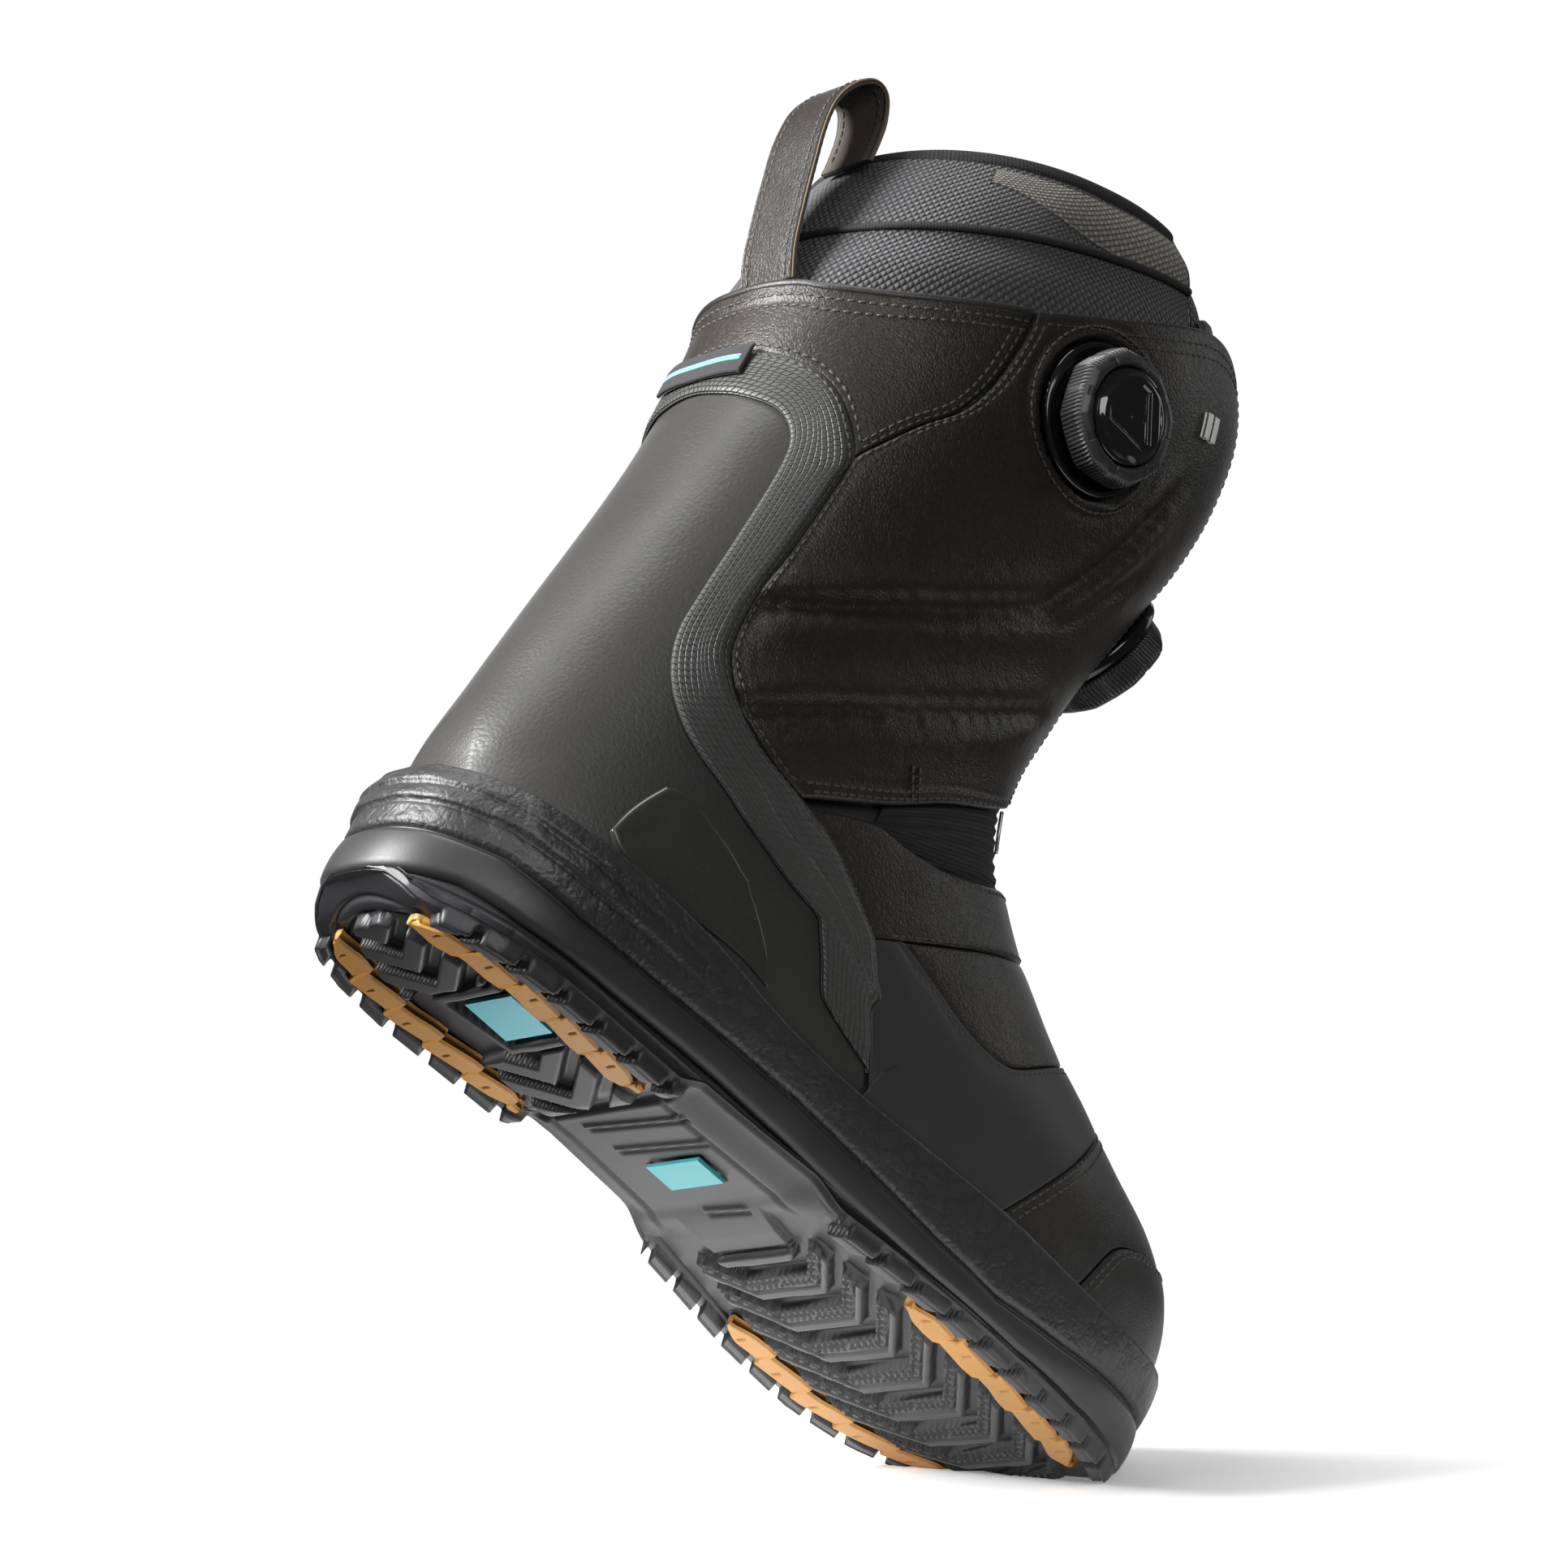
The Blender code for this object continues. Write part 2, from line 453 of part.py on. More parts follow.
DIAL_UV = (.182, .234)
dial_frame = surface_frame(*DIAL_UV)
cutter = turned("dial_opening", [(0.01, 14), (22.6, 14), (22.6, -12), (0.01, -12)], dial_frame, BLACK, .5, steps=24)
parts.objects.unlink(cutter)
cutters.objects.link(cutter)
bpy.context.view_layer.update()
cut_mesh = bpy.data.meshes.new_from_object(cutter.evaluated_get(bpy.context.evaluated_depsgraph_get()))
bpy.data.objects.remove(cutter, do_unlink=True)
bm = bmesh.new()
bm.from_mesh(cut_mesh)
bmesh.ops.remove_doubles(bm, verts=bm.verts, dist=2e-5)
bmesh.ops.recalc_face_normals(bm, faces=bm.faces)
cutter = add("dial_opening", bm, collection=cutters)
cutter.matrix_world = dial_frame
cutter.hide_render = True
cutter.display_type = "WIRE"
hole = flap_lat.modifiers.new("dial opening", "BOOLEAN")
hole.object, hole.operation, hole.solver = cutter, "DIFFERENCE", "EXACT"

uv = coons([(.146, .163), (.146, .148)], [(.163, .160), (.163, .145)], [(.146, .163), (.163, .160)], [(.146, .148), (.163, .145)])
sheet("cuff_badge", inset(uv, 3, 3, .1), 3.4, 1.0, SILVER, .4, lateral_hinge)


# ---- lacing dials -----------------------------------------------------------------------------------------------------
def lobed(radius, dent, count, steps=48):
    return [((radius - dent*(.5 - .5*math.cos(count*a))) * math.cos(a), (radius - dent*(.5 - .5*math.cos(count*a))) * math.sin(a))
            for a in np.linspace(0, 2*math.pi, steps, endpoint=False)]


def dial(prefix, frame, parent, base_low):
    """Base, spool, ratchet ring, grip ring, cap and centre screw on one axis; heights from the seat plane."""
    spin = bpy.data.objects.new(prefix + "_axis", None)
    parts.objects.link(spin)
    spin.empty_display_size = .01
    spin.matrix_world = frame
    bpy.context.view_layer.update()
    spin.parent = parent
    spin.matrix_parent_inverse = parent.matrix_world.inverted()
    turned(prefix + "_base", [(3.2, base_low), (21.3, base_low), (21.3, 1.6), (20.3, 2.6), (12.6, 2.6), (12.6, 6.4), (11.0, 6.4),
                              (11.0, 1.0), (3.2, 1.0)][::-1], frame, BLACK, .18, parent)
    turned(prefix + "_spool", [(3.2, 1.4), (10.4, 1.4), (10.4, 2.4), (8.0, 3.2), (8.0, 4.4), (10.4, 5.2), (10.4, 6.0),
                               (3.2, 6.0)][::-1], frame, (.3, .3, .3), .4, spin, .6, 20)
    turned(prefix + "_ratchet_ring", [(3.2, 6.9), (13.4, 6.9), (13.4, 8.6), (3.2, 8.6)][::-1], frame, (.08, .08, .08), .4, spin, 0, 24)
    prism(prefix + "_grip_ring", lobed(DIAL_R, .7, 8, 40), 4.0, 13.6, frame, RUBBER, .6, spin, .9)
    grip = bpy.data.objects[prefix + "_grip_ring"]
    bore = turned(prefix + "_grip_bore", [(0.01, 20), (14.2, 20), (14.2, 0), (0.01, 0)], frame, BLACK, .5, steps=24)
    bpy.context.view_layer.update()
    bore_mesh = bpy.data.meshes.new_from_object(bore.evaluated_get(bpy.context.evaluated_depsgraph_get()))
    bpy.data.objects.remove(bore, do_unlink=True)
    bm = bmesh.new()
    bm.from_mesh(bore_mesh)
    bmesh.ops.remove_doubles(bm, verts=bm.verts, dist=2e-5)
    bmesh.ops.recalc_face_normals(bm, faces=bm.faces)
    bore = add(prefix + "_grip_bore", bm, collection=cutters)
    bore.matrix_world = frame
    bore.hide_render, bore.display_type = True, "WIRE"
    cut = grip.modifiers.new("bore", "BOOLEAN")
    cut.object, cut.operation, cut.solver = bore, "DIFFERENCE", "EXACT"
    turned(prefix + "_cap", [(3.0, 9.1), (13.8, 9.1), (13.8, 14.3), (11.6, 15.9), (3.0, 15.9)][::-1], frame, BLACK, .15, spin, 0, 24)
    turned(prefix + "_screw", [(.4, .9), (2.6, .9), (2.6, 15.2), (.4, 15.2)][::-1], frame, SILVER, .35, spin, 1.0, 12)


dial("upper_dial", dial_frame, lateral_hinge, -.9)

# ---- tongue, liner and laces --------------------------------------------------------------------------------------------
def straight(u0, u1, v0, v1, rows, cols):
    return np.stack(np.meshgrid(np.linspace(u0, u1, rows), np.linspace(v0, v1, cols), indexing="ij"), -1)


sheet("shell_tongue", straight(.078, .495, .135, -.135, 14, 7), TONGUE_OUT, TONGUE_T, BLACK, .6, tongue_hinge)
sheet("liner_tongue", straight(.012, .470, .135, -.135, 14, 5), -7.2, 5.0, KNIT, .9, tongue_hinge)
front_frame = surface_frame(.300, 0.0, -.9)
dial("front_dial", front_frame, tongue_hinge, -1.6)

rows = np.array([.012, .06, .12, .18, .24, .30, .36, .42, .475, .51, .545, .58, .63, .69, .75, .81, .86, .90, .935])
back_cols = np.linspace(.165, .835, 13)
front_cols = np.linspace(.835, 1.165, 7)[1:-1]
bm = bmesh.new()
cols = np.concatenate([back_cols, front_cols])
verts = {}
for i, u in enumerate(rows):
    for j, v in enumerate(cols):
        if j < len(back_cols) or u >= .50:
            verts[i, j] = bm.verts.new(world(off_last((u, v), LINER_OUT)))
for i in range(len(rows) - 1):
    for j in range(len(cols)):
        k = (j + 1) % len(cols)
        corners = [(i, j), (i, k), (i + 1, k), (i + 1, j)]
        if all(c in verts for c in corners) and not (rows[i] < .50 and not (j < len(back_cols) - 1)):
            bm.faces.new([verts[c] for c in corners])
end = [verts[len(rows) - 1, j] for j in range(len(cols))]
tip = bm.verts.new(sum((v.co for v in end), Vector()) / len(end))
for a, b in zip(end, end[1:] + end[:1]):
    bm.faces.new((a, b, tip))
bm.normal_update()
bm.faces.ensure_lookup_table()
if bm.faces[0].normal.dot(Vector(outward(.03, .2))) < 0:
    bmesh.ops.reverse_faces(bm, faces=bm.faces)
liner = finish(add("liner_body", bm), KNIT, .9)
solid = liner.modifiers.new("thickness", "SOLIDIFY")
solid.thickness, solid.offset, solid.use_rim, solid.use_even_offset = LINER_T*MM, -1, True, False

rim = []
for v in np.linspace(.17, .83, 33):
    a, b = off_last((.012, v), -7.4), off_last((.04, v), -7.4)
    rim.append(a + (a - b)/np.linalg.norm(a - b)*3.6)
wire("liner_binding", rim, 2.7, BLACK, .8, resolution=1)
tongue_rim = []
for v in np.linspace(.13, -.13, 15):
    a, b = off_last((.012, v), -9.7), off_last((.04, v), -9.7)
    tongue_rim.append(a + (a - b)/np.linalg.norm(a - b)*4.6)
wire("tongue_binding", tongue_rim, 2.5, BLACK, .8, tongue_hinge, resolution=1)

# lace guides at the flaps' edges, and the laces that lie on the tongue between them
GUIDE_U = {"upper": .165, "middle": .235, "lower": .405}
for row, u in GUIDE_U.items():
    edge = np.interp(u, [p[0] for p in FLAP_FRONT], [p[1] for p in FLAP_FRONT])
    for side, parent in (("lateral", lateral_hinge), ("medial", medial_hinge)):
        sign = 1 if side == "lateral" else -1
        a, b = sign*(edge - .0035), sign*(edge - .026)
        uv = coons([(u - .011, a), (u - .011, b)], [(u + .011, a), (u + .011, b)], [(u - .011, a), (u + .011, a)], [(u - .011, b), (u + .011, b)])
        sheet(f"lace_guide_{side}_{row}", inset(uv, 3, 3, .1), 1.3, 1.9, BLACK, .4, parent)
for name, u0, u1 in (("lace_upper", .165, .165), ("lace_middle", .235, .235), ("lace_lower", .405, .405)):
    pts = [off_last((u0 + (u1 - u0)*t, .118 - .236*t), -2.4) for t in np.linspace(0, 1, 21)]
    wire(name, pts, CABLE_R, SILVER, .35, tongue_hinge, .8)

# ---- pull loop -----------------------------------------------------------------------------------------------------------
loop_line = np.array([(15.2, 231.5), (11.0, 240), (7.6, 251), (4.2, 264), (1.2, 277), (.6, 288), (3.4, 297), (8.6, 303), (13.6, 302.5),
                      (17.0, 296.5), (18.6, 288.5), (19.2, 281.5)])
half_t, half_w, centre_y = STRAP_T/2, STRAP_W/2, -11.0
tangent = np.gradient(loop_line, axis=0)
tangent /= np.linalg.norm(tangent, axis=1)[:, None]
side_dir = np.stack([-tangent[:, 1], tangent[:, 0]], -1)
rings = []
for (x, z), (nx, nz) in zip(loop_line, side_dir):
    rings.append(np.array([(x + nx*s, centre_y + w, z + nz*s) for s, w in ((half_t, -half_w), (half_t, half_w), (-half_t, half_w), (-half_t, -half_w))]))
rings_solid("pull_loop", rings, LEATHER, .5, loop_hinge)


# ---- sole ------------------------------------------------------------------------------------------------------------------
def spring(x):
    """Toe spring of the walking surface."""
    return 14*max(0.0, (x - 215)/85)**2


def at(table, x, column):
    return float(np.interp(x, table[:, 0], table[:, column]))


STATIONS = [-3.6, -2, -1.2, -.2, 1, 2.4, 4, 6, 9.6, 10.4, 17, 28, 45, 60, 75, 87.6, 88.4, 100, 115, 130, 142, 150, 165, 184.6, 185.4, 195, 210, 225,
            238, 250, 261, 271.6, 272.4, 279, 285, 290, 294, 297.6, 300]


def in_grip(x):
    return 10 < x < 88 or 185 < x < 272


def arch(x):
    """Height of the raised waist between heel and forefoot."""
    return 3.6*max(0.0, min(1.0, (x - 88)/12, (150 - x)/14)) if 88 < x < 150 else 0.0


def rail(y):
    """Where the channel for a grip strip starts and ends, inboard from the sole's edge."""
    return min(RAIL_W, .22*abs(y)), min(RAIL_W + CHANNEL_W, .55*abs(y))


rings = []
for x in STATIONS:
    low = spring(x) + arch(x)
    top = PLATE_TOP + spring(x)
    yl, ym = at(OUTLINE, x, 1), at(OUTLINE, x, 2)
    step = GRIP_T + .35 if in_grip(x) else .05
    (la, lb), (ma, mb) = rail(yl), rail(ym)
    rings.append(np.array([(x, yl, top), (x, yl, low), (x, yl + la, low), (x, yl + la + .01, low + step), (x, yl + lb, low + step),
                           (x, yl + lb + .01, low), (x, ym - mb - .01, low), (x, ym - mb, low + step), (x, ym - ma - .01, low + step),
                           (x, ym - ma, low), (x, ym, low), (x, ym, top)]))
outsole = rings_solid("outsole", rings, RUBBER, .6)

bpy.ops.mesh.primitive_cube_add(size=1, location=world((52, -12, 0)), scale=(17*MM, 21*MM, 5*MM))
pocket = bpy.context.object
pocket.name = "window_pocket"
bpy.ops.object.transform_apply(location=False, rotation=False, scale=True)
for owner in list(pocket.users_collection):
    owner.objects.unlink(pocket)
cutters.objects.link(pocket)
pocket.hide_render, pocket.display_type = True, "WIRE"
cut = outsole.modifiers.new("window pocket", "BOOLEAN")
cut.object, cut.operation, cut.solver = pocket, "DIFFERENCE", "EXACT"

for name, x0, x1, column, sign in (("heel_grip_lateral", 10.8, 87.2, 1, 1), ("heel_grip_medial", 10.8, 87.2, 2, -1),
                                   ("forefoot_grip_lateral", 185.8, 271.2, 1, 1), ("forefoot_grip_medial", 185.8, 271.2, 2, -1)):
    rings = []
    for x in np.linspace(x0, x1, 9):
        y = at(OUTLINE, x, column)
        near_edge, far_edge = rail(y)
        a, b, low = y + sign*(near_edge + .8), y + sign*(far_edge - .8), spring(x)
        rings.append(np.array([(x, a, low), (x, b, low), (x, b, low + GRIP_T - .15), (x, a, low + GRIP_T - .15)]))
    rings_solid(name, rings, GUM, .5)

# translucent window let into the heel, and a name plate let into the raised waist
rings = [np.array([(x, y0, .7), (x, y1, .7), (x, y1, 2.1), (x, y0, 2.1)]) for x, y0, y1 in ((44, -22, -2), (60, -22, -2))]
rings_solid("heel_window", rings, TEAL, .2)
rings = [np.array([(x, -20, arch(x) - 1.5), (x, 2, arch(x) - 1.5), (x, 2, arch(x) - .35), (x, -20, arch(x) - .35)]) for x in (118.5, 129)]
rings_solid("arch_plate", rings, TEAL, .3)

# the midsole is a cup whose inside follows the upper with clearance
CUP_CLEAR, CUP_WALL = 1.8, 1.7
us, vs = np.meshgrid(np.linspace(.5, 1, 420), np.linspace(.16, .84, 460), indexing="ij")
cloud = last(us, vs).reshape(-1, 3)
cloud = cloud[cloud[:, 2] < 50]


def section(x, z):
    """Lateral and medial y of the last where it crosses (x, z), or None outside it."""
    near = cloud[(np.abs(cloud[:, 0] - x) < 1.5) & (np.abs(cloud[:, 2] - z) < 1.6)]
    return (near[:, 1].min(), near[:, 1].max()) if len(near) and np.ptp(near[:, 1]) > 2 else None


rings = []
for x in STATIONS:
    low = PLATE_TOP + .35 + spring(x)
    lip = at(LIP, x, 3)
    ol, om = at(OUTLINE, x, 1) - 1.2, at(OUTLINE, x, 2) + 1.2
    tl, tm = at(LIP, x, 1), at(LIP, x, 2)
    near = cloud[np.abs(cloud[:, 0] - x) < 1.5]
    edge = section(x, lip)
    if edge is None:
        cy = (tl + tm)/2
        inner = [(cy - 1.5, lip - .1), (cy - 1.4, lip - .2), (cy - 1.3, lip - .3), (cy - 1.2, lip - .4)]
        inner += [(cy + 1.2, lip - .4), (cy + 1.3, lip - .3), (cy + 1.4, lip - .2), (cy + 1.5, lip - .1)]
    else:
        deepest = near[:, 2].min()
        floor = deepest - (20 - CUP_FLOOR_Z if x > 9 else 2.2)
        levels = [lip, floor + .55*(lip - floor), floor + .25*(lip - floor)]
        found = [section(x, z) or edge for z in levels]
        found[1] = (max(found[1][0], found[0][0] - 1), min(found[1][1], found[0][1] + 1))
        left = [(f[0] - CUP_CLEAR - .5*k, z) for k, (f, z) in enumerate(zip(found, levels))]
        right = [(f[1] + CUP_CLEAR + .5*k, z) for k, (f, z) in enumerate(zip(found, levels))]
        fl, fr = left[2][0]*.9 + right[2][0]*.1, left[2][0]*.1 + right[2][0]*.9
        inner = left + [(fl, floor), (fr, floor)] + right[::-1]
        tl, tm = min(tl, left[0][0] - CUP_WALL), max(tm, right[0][0] + CUP_WALL)
    mid = (low + lip)/2 - 3
    ring = [(ol, low), (min(ol, tl) - .3, mid), (tl, lip)] + inner + [(tm, lip), (max(om, tm) + .3, mid), (om, low)]
    rings.append(np.array([(x, y, z) for y, z in ring]))
rings_solid("midsole", rings, EVA, .6)


def slab(name, x0, x1, inset_y, z0, z1, colour, roughness, rise=0.0, count=17, table=OUTLINE, most=60):
    rings = []
    for x in x0 + (x1 - x0)*(.5 - .5*np.cos(np.linspace(.12, math.pi - .12, count))):
        yl, ym = at(table, x, 1) + inset_y, at(table, x, 2) - inset_y
        end = min(1.0, max(.05, 1 - ((x - (x0 + x1)/2)/((x1 - x0)/2))**8))**.5
        cy = (yl + ym)/2
        yl, ym = max(-most, cy + (yl - cy)*end), min(most, cy + (ym - cy)*end)
        up = rise*spring(x)
        rings.append(np.array([(x, yl, z0 + up), (x, ym, z0 + up), (x, ym, z1 + up), (x, yl, z1 + up)]))
    return rings_solid(name, rings, colour, roughness)


slab("shank", 62, 196, 0, SHANK_Z0, SHANK_Z1, (.1, .1, .1), .4, 0, 9, most=17)
slab("insole_board", 16, 270, 14.5, BOARD_Z0, BOARD_Z1, (.25, .2, .13), .8, .8, most=31)
slab("footbed", 26, 258, 20.5, 33.4, 36.9, (.08, .09, .1), .9, .6)
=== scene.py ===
"""Looks of the snowboard boot: fine panels, stitching, lining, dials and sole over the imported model."""

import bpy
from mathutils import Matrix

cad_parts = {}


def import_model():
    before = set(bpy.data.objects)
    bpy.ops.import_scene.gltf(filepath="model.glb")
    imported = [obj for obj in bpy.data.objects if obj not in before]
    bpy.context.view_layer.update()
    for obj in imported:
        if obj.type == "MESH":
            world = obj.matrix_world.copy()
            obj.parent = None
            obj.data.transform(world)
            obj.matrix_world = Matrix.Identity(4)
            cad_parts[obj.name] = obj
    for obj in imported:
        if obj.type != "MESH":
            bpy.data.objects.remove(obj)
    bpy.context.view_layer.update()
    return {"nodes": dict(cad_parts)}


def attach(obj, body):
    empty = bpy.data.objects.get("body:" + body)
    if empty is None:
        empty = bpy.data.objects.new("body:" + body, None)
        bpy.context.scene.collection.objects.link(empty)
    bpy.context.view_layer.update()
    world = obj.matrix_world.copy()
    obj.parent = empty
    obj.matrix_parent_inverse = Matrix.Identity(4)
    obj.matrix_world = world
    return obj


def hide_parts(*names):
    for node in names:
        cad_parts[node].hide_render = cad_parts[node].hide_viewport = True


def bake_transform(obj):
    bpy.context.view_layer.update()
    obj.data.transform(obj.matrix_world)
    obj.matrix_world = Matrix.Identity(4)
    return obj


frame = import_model()

import bpy
import bmesh
import math
import numpy as np
from mathutils import Vector, Matrix

MM = 0.001
ORIGIN_X, ORIGIN_Y = 148.20, -9.565
FINE = 1.0      # grid spacing factor

LAST = np.array([
    # front/top x, z   back/bottom x, z   front share  half widths lat, med   exponents front, back   centre y
    (134, 339,  20, 293, .52, 50, 49, 2.2, 2.20, -3.0),
    (149, 333,  15, 267, .52, 55, 54, 2.2, 2.20, -3.0),
    (158, 325,  12, 241, .52, 57, 56, 2.2, 2.25, -3.0),
    (174, 304,  14, 219, .52, 56, 55, 2.2, 2.25, -3.0),
    (178, 280,  15, 198, .52, 54, 53, 2.2, 2.25, -3.0),
    (176, 256,  14, 176, .52, 52, 50, 2.2, 2.25, -3.0),
    (171, 232,  12, 154, .51, 49, 47, 2.2, 2.25, -2.5),
    (166, 208,   9, 132, .50, 47, 45, 2.2, 2.20, -2.0),
    (163, 185,   6, 108, .50, 46, 44, 2.2, 2.20, -1.5),
    (162, 163,   3,  82, .50, 45, 43, 2.2, 2.20, -1.0),
    (169, 145,   1,  52, .48, 45, 42, 2.2, 2.40, 0.0),
    (181, 131,   7,  24, .50, 46, 42, 2.2, 2.80, 0.0),
    (195, 119,  60,  20, .56, 48, 44, 2.2, 3.20, 0.0),
    (209, 108, 120,  20, .62, 50, 47, 2.2, 3.80, 0.0),
    (224,  98, 170,  20, .66, 51, 50, 2.25, 4.2, -.5),
    (240,  89, 212,  21, .68, 50, 51, 2.3, 4.40, 0.0),
    (256,  82, 244,  23, .68, 46.5, 50, 2.4, 4.4, 1.0),
    (271,  75, 268,  25, .66, 39, 44, 2.5, 4.20, 3.0),
    (284,  67, 284,  27, .60, 27, 34, 2.5, 3.60, 5.0),
    (293,  56, 293,  29, .52, 13, 20, 2.4, 3.00, 6.5),
    (297.5, 43, 297.5, 31, .50, 0.6, 1.0, 2.2, 2.4, 7.5),
], float)

# Seam lines on the lateral half, as (u, v); the medial ones mirror them (v -> 1 - v).
COLLAR = [(.108, .50), (.110, .45), (.117, .42), (.122, .38), (.122, .34), (.119, .285)]
FLAP_TOP = [(.119, .284), (.109, .24), (.099, .20), (.092, .16), (.096, .125), (.108, .103)]
FLAP_FRONT = [(.108, .103), (.14, .085), (.18, .073), (.22, .063), (.28, .058), (.36, .057), (.42, .061), (.455, .072), (.476, .095)]
FLAP_HEM = [(.512, .258), (.509, .246), (.503, .212), (.492, .174), (.484, .13), (.476, .095)]
DIAGONAL = [(.119, .285), (.145, .288), (.175, .292), (.195, .297), (.21, .304), (.225, .318), (.245, .332), (.262, .342)]
BAND_TOP = [(.262, .342), (.238, .356), (.21, .378), (.19, .405), (.178, .439), (.171, .475), (.168, .50)]
BAND_REAR = [(.262, .342), (.28, .341), (.318, .339), (.355, .338), (.385, .338), (.41, .335), (.432, .329), (.452, .316),
             (.473, .299), (.49, .282), (.512, .259)]
BAND_FOOT = [(.512, .259), (.532, .246), (.545, .238), (.568, .232), (.60, .234), (.625, .244), (.65, .252), (.672, .262),
             (.688, .279), (.702, .302), (.706, .324)]
BAND_INNER = [(.206, .50), (.210, .47), (.215, .446), (.228, .411), (.25, .39), (.28, .381), (.338, .375), (.39, .371),
              (.422, .367), (.452, .354), (.478, .334), (.50, .311), (.522, .285), (.548, .262), (.58, .252), (.60, .254),
              (.622, .261), (.642, .271)]
GUSSET_HEM = [(.516, .235), (.518, .22), (.526, .205), (.533, .186), (.538, .162), (.538, .13), (.534, .08), (.532, 0)]
ANKLE_HEM = [(.60, .234), (.60, .18), (.60, .149), (.602, .08), (.603, 0)]
RAND = [(.60, .217), (.62, .214), (.642, .211), (.665, .209), (.685, .205), (.70, .196), (.706, .183), (.711, .145),
        (.716, .10), (.72, .06), (.722, 0)]
QUARTER_HEM = [(.779, .306), (.78, .27), (.78, .232), (.78, .199), (.779, .15), (.778, .08), (.778, 0)]
TOE_SEAM = [(.838, .302), (.839, .266), (.840, .228), (.845, .210), (.857, .194), (.875, .178), (.893, .155), (.905, .12),
            (.912, .06), (.914, 0)]

# Sole outline as seen from above: x, lateral y, medial y.
OUTLINE = np.array([(-3.8, -7, 9), (-1.5, -14, 16), (3, -21, 22.5), (10, -27, 28), (17, -32, 33), (28, -37, 37), (45, -40.5, 38.5),
                    (75, -41.5, 36), (105, -42, 34), (135, -44.5, 36), (165, -49, 42.5), (195, -52.5, 49.5), (225, -52, 52),
                    (250, -46, 49.5), (270, -36, 43), (283, -26, 36), (292, -15, 28.5), (298, -5, 20), (300.5, 1, 14)], float)
# Midsole lip: x, lateral y, medial y, z.
LIP = np.array([(-3.8, -7, 9, 44), (-1.5, -15, 17, 44), (3, -23, 24, 44), (10, -29.5, 30, 44), (17, -35.5, 35, 43.5), (28, -41.5, 40.5, 42),
                (45, -45.5, 43.5, 42), (75, -48.5, 45.5, 40), (105, -49.5, 46.5, 35.5), (135, -50.5, 47, 34), (165, -52.5, 49, 34.5),
                (195, -54, 52, 35), (225, -53, 53.5, 34.5), (250, -49, 52.5, 36), (270, -40.5, 46, 39.5), (283, -29.5, 39, 42.5),
                (292, -17, 31, 44), (298, -6, 22.5, 45), (300.5, 0, 15, 45)], float)

# ---- the last ---------------------------------------------------------------------------------------------------
def knots():
    d = np.linalg.norm(np.diff(LAST[:, :2], axis=0), axis=1) + .55 * np.linalg.norm(np.diff(LAST[:, 2:4], axis=0), axis=1)
    u = np.concatenate([[0], np.cumsum(d)])
    return u / u[-1]


U = knots()


def hermite(u, table=LAST, at=U):
    u = np.clip(np.asarray(u, float), 0, 1)
    i = np.clip(np.searchsorted(at, u, side="right") - 1, 0, len(at) - 2)
    step = np.diff(at)
    slope = np.diff(table, axis=0) / step[:, None]
    tangent = np.empty_like(table)
    tangent[1:-1] = (slope[:-1] * step[1:, None] + slope[1:] * step[:-1, None]) / (step[1:] + step[:-1])[:, None]
    tangent[0], tangent[-1] = slope[0], slope[-1]
    h = step[i][..., None]
    t = ((u - at[i]) / step[i])[..., None]
    return ((2*t**3 - 3*t**2 + 1) * table[i] + (t**3 - 2*t**2 + t) * h * tangent[i]
            + (-2*t**3 + 3*t**2) * table[i + 1] + (t**3 - t**2) * h * tangent[i + 1])


def last(u, v):
    """Point of the last in millimetres."""
    u, v = np.broadcast_arrays(np.asarray(u, float), np.asarray(v, float))
    p = hermite(u)
    c, s = np.cos(2*np.pi*v), np.sin(2*np.pi*v)
    front, back, share = p[..., 0:2], p[..., 2:4], p[..., 4]
    power = np.where(c > 0, p[..., 7], p[..., 8])
    half = np.where(s > 0, p[..., 5], p[..., 6])
    length = np.linalg.norm(front - back, axis=-1)
    along = np.where(c > 0, share, 1 - share) * length * np.abs(c)**(2/power) * np.sign(c)
    xz = front + (back - front)*share[..., None] + (front - back)/np.maximum(length, 1e-6)[..., None]*along[..., None]
    y = p[..., 9] - half * np.abs(s)**(2/power) * np.sign(s)
    return np.stack([xz[..., 0], y, xz[..., 1]], -1)


def outward(u, v, e=1e-3):
    u, v = np.broadcast_arrays(np.asarray(u, float), np.asarray(v, float))
    du = last(np.clip(u + e, 0, 1), v) - last(np.clip(u - e, 0, 1), v)
    dv = last(u, v + e) - last(u, v - e)
    n = np.cross(dv, du)
    return n / np.maximum(np.linalg.norm(n, axis=-1, keepdims=True), 1e-9)


def off_last(uv, distance):
    uv = np.asarray(uv, float)
    return last(uv[..., 0], uv[..., 1]) + distance * outward(uv[..., 0], uv[..., 1])


def world(points):
    return (np.asarray(points, float) - np.array([ORIGIN_X, ORIGIN_Y, 0])) * MM

def resample(points, count):
    """Catmull-Rom curve through (u, v) points, as a function of its share of the length."""
    p = np.asarray(points, float)
    ends = np.vstack([2*p[0] - p[1], p, 2*p[-1] - p[-2]])
    fine = [p[0]]
    for i in range(1, len(ends) - 2):
        for t in np.linspace(0, 1, 9)[1:]:
            a, b, c, d = ends[i - 1:i + 3]
            fine.append(.5*((2*b) + (c - a)*t + (2*a - 5*b + 4*c - d)*t*t + (3*b - a - 3*c + d)*t**3))
    fine = np.array(fine)
    length = np.concatenate([[0], np.cumsum(np.linalg.norm(np.diff(fine*[470, 330], axis=0), axis=1))])
    at = np.linspace(0, length[-1], count)
    return np.stack([np.interp(at, length, fine[:, k]) for k in (0, 1)], -1)


